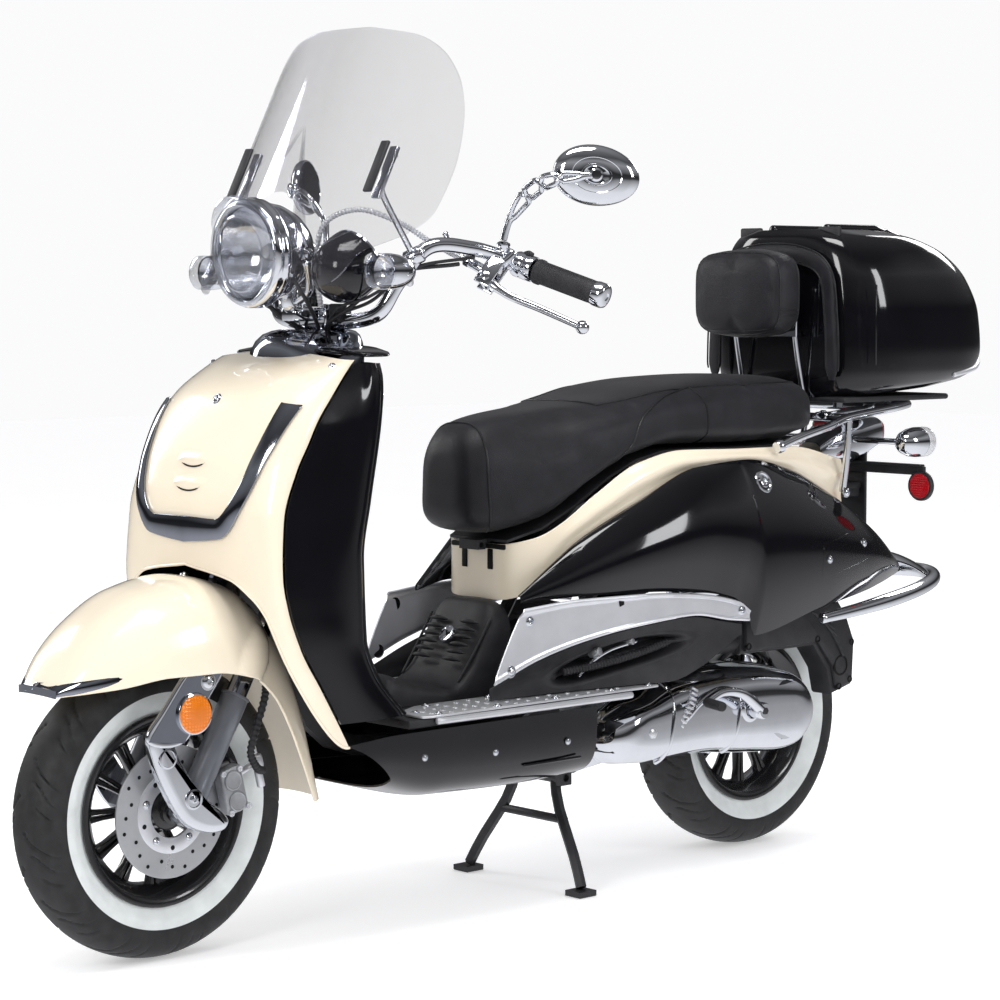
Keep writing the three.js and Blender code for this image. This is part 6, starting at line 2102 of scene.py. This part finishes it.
for x in (-90, 90):
    for y, z in ((733, 734), (860, 748)):
        rack.add(*slab(x - 13, x + 13, y - 9, y + 9, z - 3, z + 9, r=3))
        rack.add(*bolt((x, y, z + 9), (0, 0, 1), 5.5, 3))
rack.make("rack_rails", "chassis", [CHROME], ["rear_rack"], sharp=38, slot="chrome")

tail = Shape()
body_rings = []
for y, w, z0, z1 in (
    (800, 26, 648, 684), (820, 34, 644, 702), (850, 44, 640, 722), (900, 46, 650, 727),
    (948, 44, 672, 727)
):
    a = turns(64)
    body_rings.append(stack(
        w * squarish(np.cos(a), 3), np.full(64, y),
        (z0 + z1) / 2 + (z1 - z0) / 2 * squarish(np.sin(a), 3)
    ))
tail.add(*loft(body_rings), 1)
lens_rings = []
for y, k in ((946, 0.97), (952, 0.97), (958, 0.9), (961, 0.74), (962, 0.5)):
    a = turns(64)
    lens_rings.append(stack(
        43 * k * squarish(np.cos(a), 3), np.full(64, y), 700 + 26 * k * squarish(np.sin(a), 3)
    ))
tail.add(*loft(lens_rings), 0)
tail.add(*slab(-30, 30, 838, 890, 690, 722, r=6), 0)
tail.add(*lathe([(0, 0), (9, 0), (9, 2), (0, 3)], (0, 950, 664), (0, 1, -0.3), 24), 2)
tail.make("tail_lamp_body", "chassis", [RED, CHROME, BULB], ["tail_lamp"], sharp=42, slot="red_lens")

holder = Shape()
holder.add(*slab(-40, 40, 904.5, 911, 520, 670, r=2.4))
holder.add(*slab(-172, 172, 896.5, 903, 630, 648, r=2.4))
holder.add(*slab(-172, 172, 893, 908, 645, 649, r=1.5))
holder.add(*slab(-40, 40, 896, 911, 630, 646, r=2))
holder.add(*slab(-30, 30, 760, 908, 600, 612, r=3))
for x in (-1, 1):
    holder.add(*slab(x * 26 - 3, x * 26 + 3, 770, 904, 586, 606, r=2))
    holder.add(*slab(x * 172 - 8, x * 172 + 8, 895, 902, 606, 646, r=2))
    holder.add(*bolt((x * 26, 911, 648), (0, 1, 0), 5, 3))
    holder.add(*bolt((x * 26, 911, 536), (0, 1, 0), 5, 3))
    holder.add(*lathe(
        [(0, -5), (25, -5), (26.2, -3), (26.2, 3), (25, 4.6), (23, 4.6), (22.5, 3.2)],
        (x * 172, 898, 612), (0, 1, 0), 56
    ))
    holder.add(*lathe([(22.6, 3), (21.5, 4.6), (14, 5.4), (0, 5.8)], (x * 172, 898, 612), (0, 1, 0), 56), 1)
    holder.add(
        *lathe([(22.6, -4), (21.5, -5.2), (14, -5.6), (0, -5.8)], (x * 172, 898, 612), (0, 1, 0), 56), 1
    )
for k in range(7):
    holder.add(*slab(-34, 34, 911, 912.6, 540 + k * 13, 543 + k * 13, r=0.6))
holder.make("plate_holder", "chassis", [MATTE, RED], ["plate_bracket"], sharp=42, slot="black_plastic")

# ---------- engine and drive side ----------
CASE = [
    (168, 232), (178, 268), (214, 292), (262, 306), (320, 324), (480, 332), (570, 322), (636, 300),
    (668, 255), (664, 215),
    (636, 184), (600, 174), (500, 180), (400, 190), (250, 190), (190, 202),
]
n_case = 220
case_line = spline(
    [(0, y, z) for y, z in CASE], np.linspace(0, 1, n_case, endpoint=False), closed=True
)[:, 1:]
middle = case_line.mean(axis=0)
run = np.roll(case_line, -1, axis=0) - np.roll(case_line, 1, axis=0)
out_dir = np.column_stack([run[:, 1], -run[:, 0]])
out_dir /= np.linalg.norm(out_dir, axis=1)[:, None]
out_dir *= np.sign(np.sum(out_dir * (case_line - middle), axis=1))[:, None]


def case_ring(x, inset, keep=1.0):
    """The drive case's outline at x, drawn in from its edge; keep draws it towards its long axis."""
    spine = np.column_stack([np.clip(case_line[:, 0], 250, 590), 254 + 0 * case_line[:, 0]])
    q = case_line - out_dir * inset
    q = spine + (q - spine) * keep
    return np.column_stack([np.full(len(q), x), q[:, 0], q[:, 1]])


case = Shape()
case_rings = [
    case_ring(x, i) for x, i in ((63, 2), (63.5, 0), (84, 0), (85, -1.4), (91, -1.4), (92, 0), (96, 0))
]
for t in np.linspace(0.06, 1, 18):
    case_rings.append(case_ring(
        96 + 62 * math.sin(t * math.pi / 2), 1, 0.10 + 0.90 * math.cos(t * math.pi / 2) ** 0.62
    ))
case.add(*loft(case_rings), 0)
# raised bands over the drum, the ribbed clutch cap behind and bolts round the flange
def case_band(y, r=4.2, z0=184, z1=322):
    line = []
    for a in np.linspace(math.radians(-64), math.radians(70), 40):
        z = lerp(z0, z1, (math.sin(a) + 1) / 2)
        half = (z1 - z0) / 2
        u = (z - (z0 + z1) / 2) / half
        line.append((96 + 61 * math.sqrt(max(0.0, 1 - abs(u) ** 2.6)), y + 10 * u, z))
    return tube(np.array(line), r, 40, 12)


for y in (296, 452):
    case.add(*case_band(y))
arm = [(133, 300, 246), (154, 322, 258), (160, 350, 282), (160, 384, 298), (158, 420, 300), (156, 448, 290)]
case.add(*tube(arm, 6, 50, 14), 0)
for k in range(11):
    t = k / 10
    p = np.array([lerp(150, 160, math.sin(t * 3)), lerp(306, 352, t), lerp(238, 306, t)])
    case.add(*rod(p - [2, 5, -3], p + [2, 5, -3], 2.6, 12), 1)
for y, z in (
    (196, 214), (196, 262), (268, 198), (352, 195), (452, 190), (540, 184), (628, 190), (654, 232),
    (628, 292), (540, 316), (430, 324), (320, 314)
):
    c = np.array([y, z])
    q = c + (middle - c) * 0.02
    case.add(*lathe([(0, -8), (8.4, -8), (8.8, -6), (8.8, 1), (7, 3), (0, 3)], (90, *q), (1, 0, 0), 28), 0)
    case.add(*bolt((93, *q), (1, 0, 0), 5, 4), 1)
pivot_y, pivot_z = 480, 262
case.add(*lathe([(0, -4), (24, -4), (24, 0), (20, 5), (16, 6)], (156, pivot_y, pivot_z), (1, 0, 0), 40), 0)
cap = [(62, 0), (60, 4), (52, 5), (50, 3), (30, 5), (12, 9), (0, 9.6)]
case.add(*lathe([(r * 0.82, a) for r, a in cap], (148, 574, 250), (1, 0.10, 0), 64), 0)
case.add(*lathe([(0, 0), (9, 0), (9, 4), (6, 6), (0, 6)], (155, 250, 246), (1, 0, 0), 6), 1)
case.make("drive_cover", "engine", [CHROME, SILVER], ["drive_case"], sharp=40, slot="chrome")

kick = Shape()
kick.add(*lathe(
    [(5, 0), (13, 0), (14, 2), (14, 26), (12, 29), (5, 29)], (161, pivot_y, pivot_z), (1, 0, 0), 32,
    True
))
kick.add(*lathe([(0, 27), (6, 27), (6, 31), (0, 32)], (161, pivot_y, pivot_z), (1, 0, 0), 6), 1)
kick.add(*tube(
    [
        (182, pivot_y, pivot_z), (186, pivot_y - 55, pivot_z + 34), (186, pivot_y - 100, pivot_z + 40),
        (186, pivot_y - 136, pivot_z + 28)
    ],
    [9, 7.6, 7, 7], 40, 18
))
peg_a, peg_b = np.array([184, pivot_y - 136, pivot_z + 28]), np.array([232, pivot_y - 146, pivot_z + 26])
prof = [(0, 0), (6, 0)]
length = float(np.linalg.norm(peg_b - peg_a))
for k in range(9):
    x = 5 + k * (length - 10) / 9
    prof += [(6.2, x), (8.0, x + 1), (8.0, x + 3.2), (6.2, x + 4.2)]
kick.add(*lathe(prof + [(7.6, length - 2), (5, length), (0, length)], peg_a, peg_b - peg_a, 28), 1)
kick.make("kick_arm", "kick", [CHROME, GRIP], ["kick_lever"], sharp=42, slot="chrome")

AIRBOX = [
    (470, 350), (470, 424), (600, 438), (705, 440), (738, 400), (760, 352), (755, 275), (702, 262),
    (690, 305), (655, 350)
]
air_filter = Shape()
air_filter.add(*prism(AIRBOX, 93, 141, r=7))
air_filter.add(*prism(
    [
        (478, 356), (478, 418), (602, 431), (700, 433), (731, 397), (752, 352), (748, 281), (708, 270),
        (697, 311), (659, 356)
    ],
    139, 149, r=5
))
for y, z in (
    (484, 364), (484, 412), (602, 426), (698, 426), (744, 350), (740, 286), (712, 276), (656, 362)
):
    air_filter.add(
        *lathe([(0, -6), (6, -6), (6, 0), (4.6, 1), (4.2, -1), (0, -1)], (149.5, y, z), (1, 0, 0), 20),
        1
    )
for k in range(6):
    air_filter.add(*tube([(149, 640 + k * 9, 410 - k * 5), (150.6, 690 + k * 6, 388 - k * 12)], 2.4, 8, 8))
air_filter.add(*lathe([(0, -6), (18, -6), (18, 0), (15, 1), (14, -3), (0, -3)], (149, 716, 312),
(1, 0, 0), 30), 1)
air_filter.add(*tube([(118, 480, 372), (112, 430, 372), (104, 396, 352)], 22, 30, 28))
air_filter.make("air_filter_box", "engine", [MATTE, HOLE], ["air_box"], sharp=42, slot="black_plastic")

pipe = Shape()
can = [(0, 0), (40, 1), (50, 8), (52, 18), (52, 30), (50.6, 32), (52, 34)]
can_a, can_b = np.array([-132, 360, 222]), np.array([-140, 770, 268])
can_len = float(np.linalg.norm(can_b - can_a))
can += [
    (52, can_len - 60), (50.6, can_len - 58), (52, can_len - 56), (52, can_len - 20), (48, can_len - 6),
    (40, can_len), (30, can_len - 4), (0, can_len - 4)
]
pipe.add(*lathe(can, can_a, can_b - can_a, 72))
pipe.add(*tube(
    [(-60, 70, 226), (-80, 78, 216), (-101, 120, 212), (-122, 220, 212), (-132, 364, 222)], 14, 60, 24
))
tip = can_a + unit(can_b - can_a) * (can_len - 6)
pipe.add(*lathe([(13, 0), (14.4, 0), (14.4, 9), (13, 9)], tip + [0, 0, -18], can_b - can_a, 30, True), 1)
for s in (120, 250):
    c = can_a + unit(can_b - can_a) * s
    pipe.add(*lathe([(52.3, -9), (53.4, -8), (53.4, 8), (52.3, 9)], c, can_b - can_a, 72), 1)
pipe.make("exhaust", "engine", [CHROME, SILVER], ["muffler"], sharp=42, slot="chrome")

block_ribs = Shape()
for k in range(7):
    block_ribs.add(*slab(-56 - (k % 2) * 2, 56 + (k % 2) * 2, 64 + k * 4.2, 66.4 + k * 4.2, 212, 312, r=1))
block_ribs.add(*rod((60, 226, 214), (60, 160, 206), 25, 40, 4), 1)
block_ribs.add(*lathe([(0, 0), (26, 0), (26, 5), (20, 9), (0, 9)], (60, 160, 206), (0, -1, -0.12), 40), 1)
for k in range(5):
    block_ribs.add(*tube([(40, 226, 258 + k * 9), (60, 244, 262 + k * 9)], 3, 4, 8), 0)
block_ribs.add(*rod((59, 300, 205), (59, 334, 200), 17, 32, 3), 0)
for y, z in ((120, 300), (120, 226), (196, 320), (196, 206)):
    block_ribs.add(*bolt((58.5, y, z), (1, 0, 0), 6, 4), 1)
block_ribs.make("engine_fins", "engine", [CAST, CHROME], sharp=42)

# ---------- rear shock absorber ----------
SHOCK_TOP, SHOCK_FOOT = np.array([-82, 500, 566.0]), np.array([-82, 585, 300.0])
down = unit(SHOCK_FOOT - SHOCK_TOP)
shock_len = float(np.linalg.norm(SHOCK_FOOT - SHOCK_TOP))


top_part = Shape()
top_part.add(*lathe(
    [(6.3, -9), (12.6, -9), (13, -8), (13, 8), (12.6, 9), (6.3, 9)], SHOCK_TOP, (1, 0, 0), 40, True
))
top_part.add(*lathe(
    [
        (0, 10), (8, 11), (8, 17), (12, 18), (12.5, 20), (12.5, 148), (11.6, 150), (7.2, 150),
        (7.2, 60), (0, 60)
    ],
    SHOCK_TOP, down, 40
))
top_part.make("damper_body", "shock_upper", [CHROME], ["shock_body"], sharp=40, slot="chrome")
low_part = Shape()
low_part.add(*lathe(
    [(6.3, -9), (12.6, -9), (13, -8), (13, 8), (12.6, 9), (6.3, 9)], SHOCK_FOOT, (1, 0, 0), 40, True
))
low_part.add(*lathe(
    [
        (0, 78), (5.5, 78), (5.5, shock_len - 32), (20.6, shock_len - 30), (21, shock_len - 28),
        (21, shock_len - 22), (8, shock_len - 20), (8, shock_len - 11), (0, shock_len - 11)
    ],
    SHOCK_TOP, down, 40
))
low_part.make("damper_rod", "shock_lower", [CHROME], ["shock_rod"], sharp=40, slot="chrome")
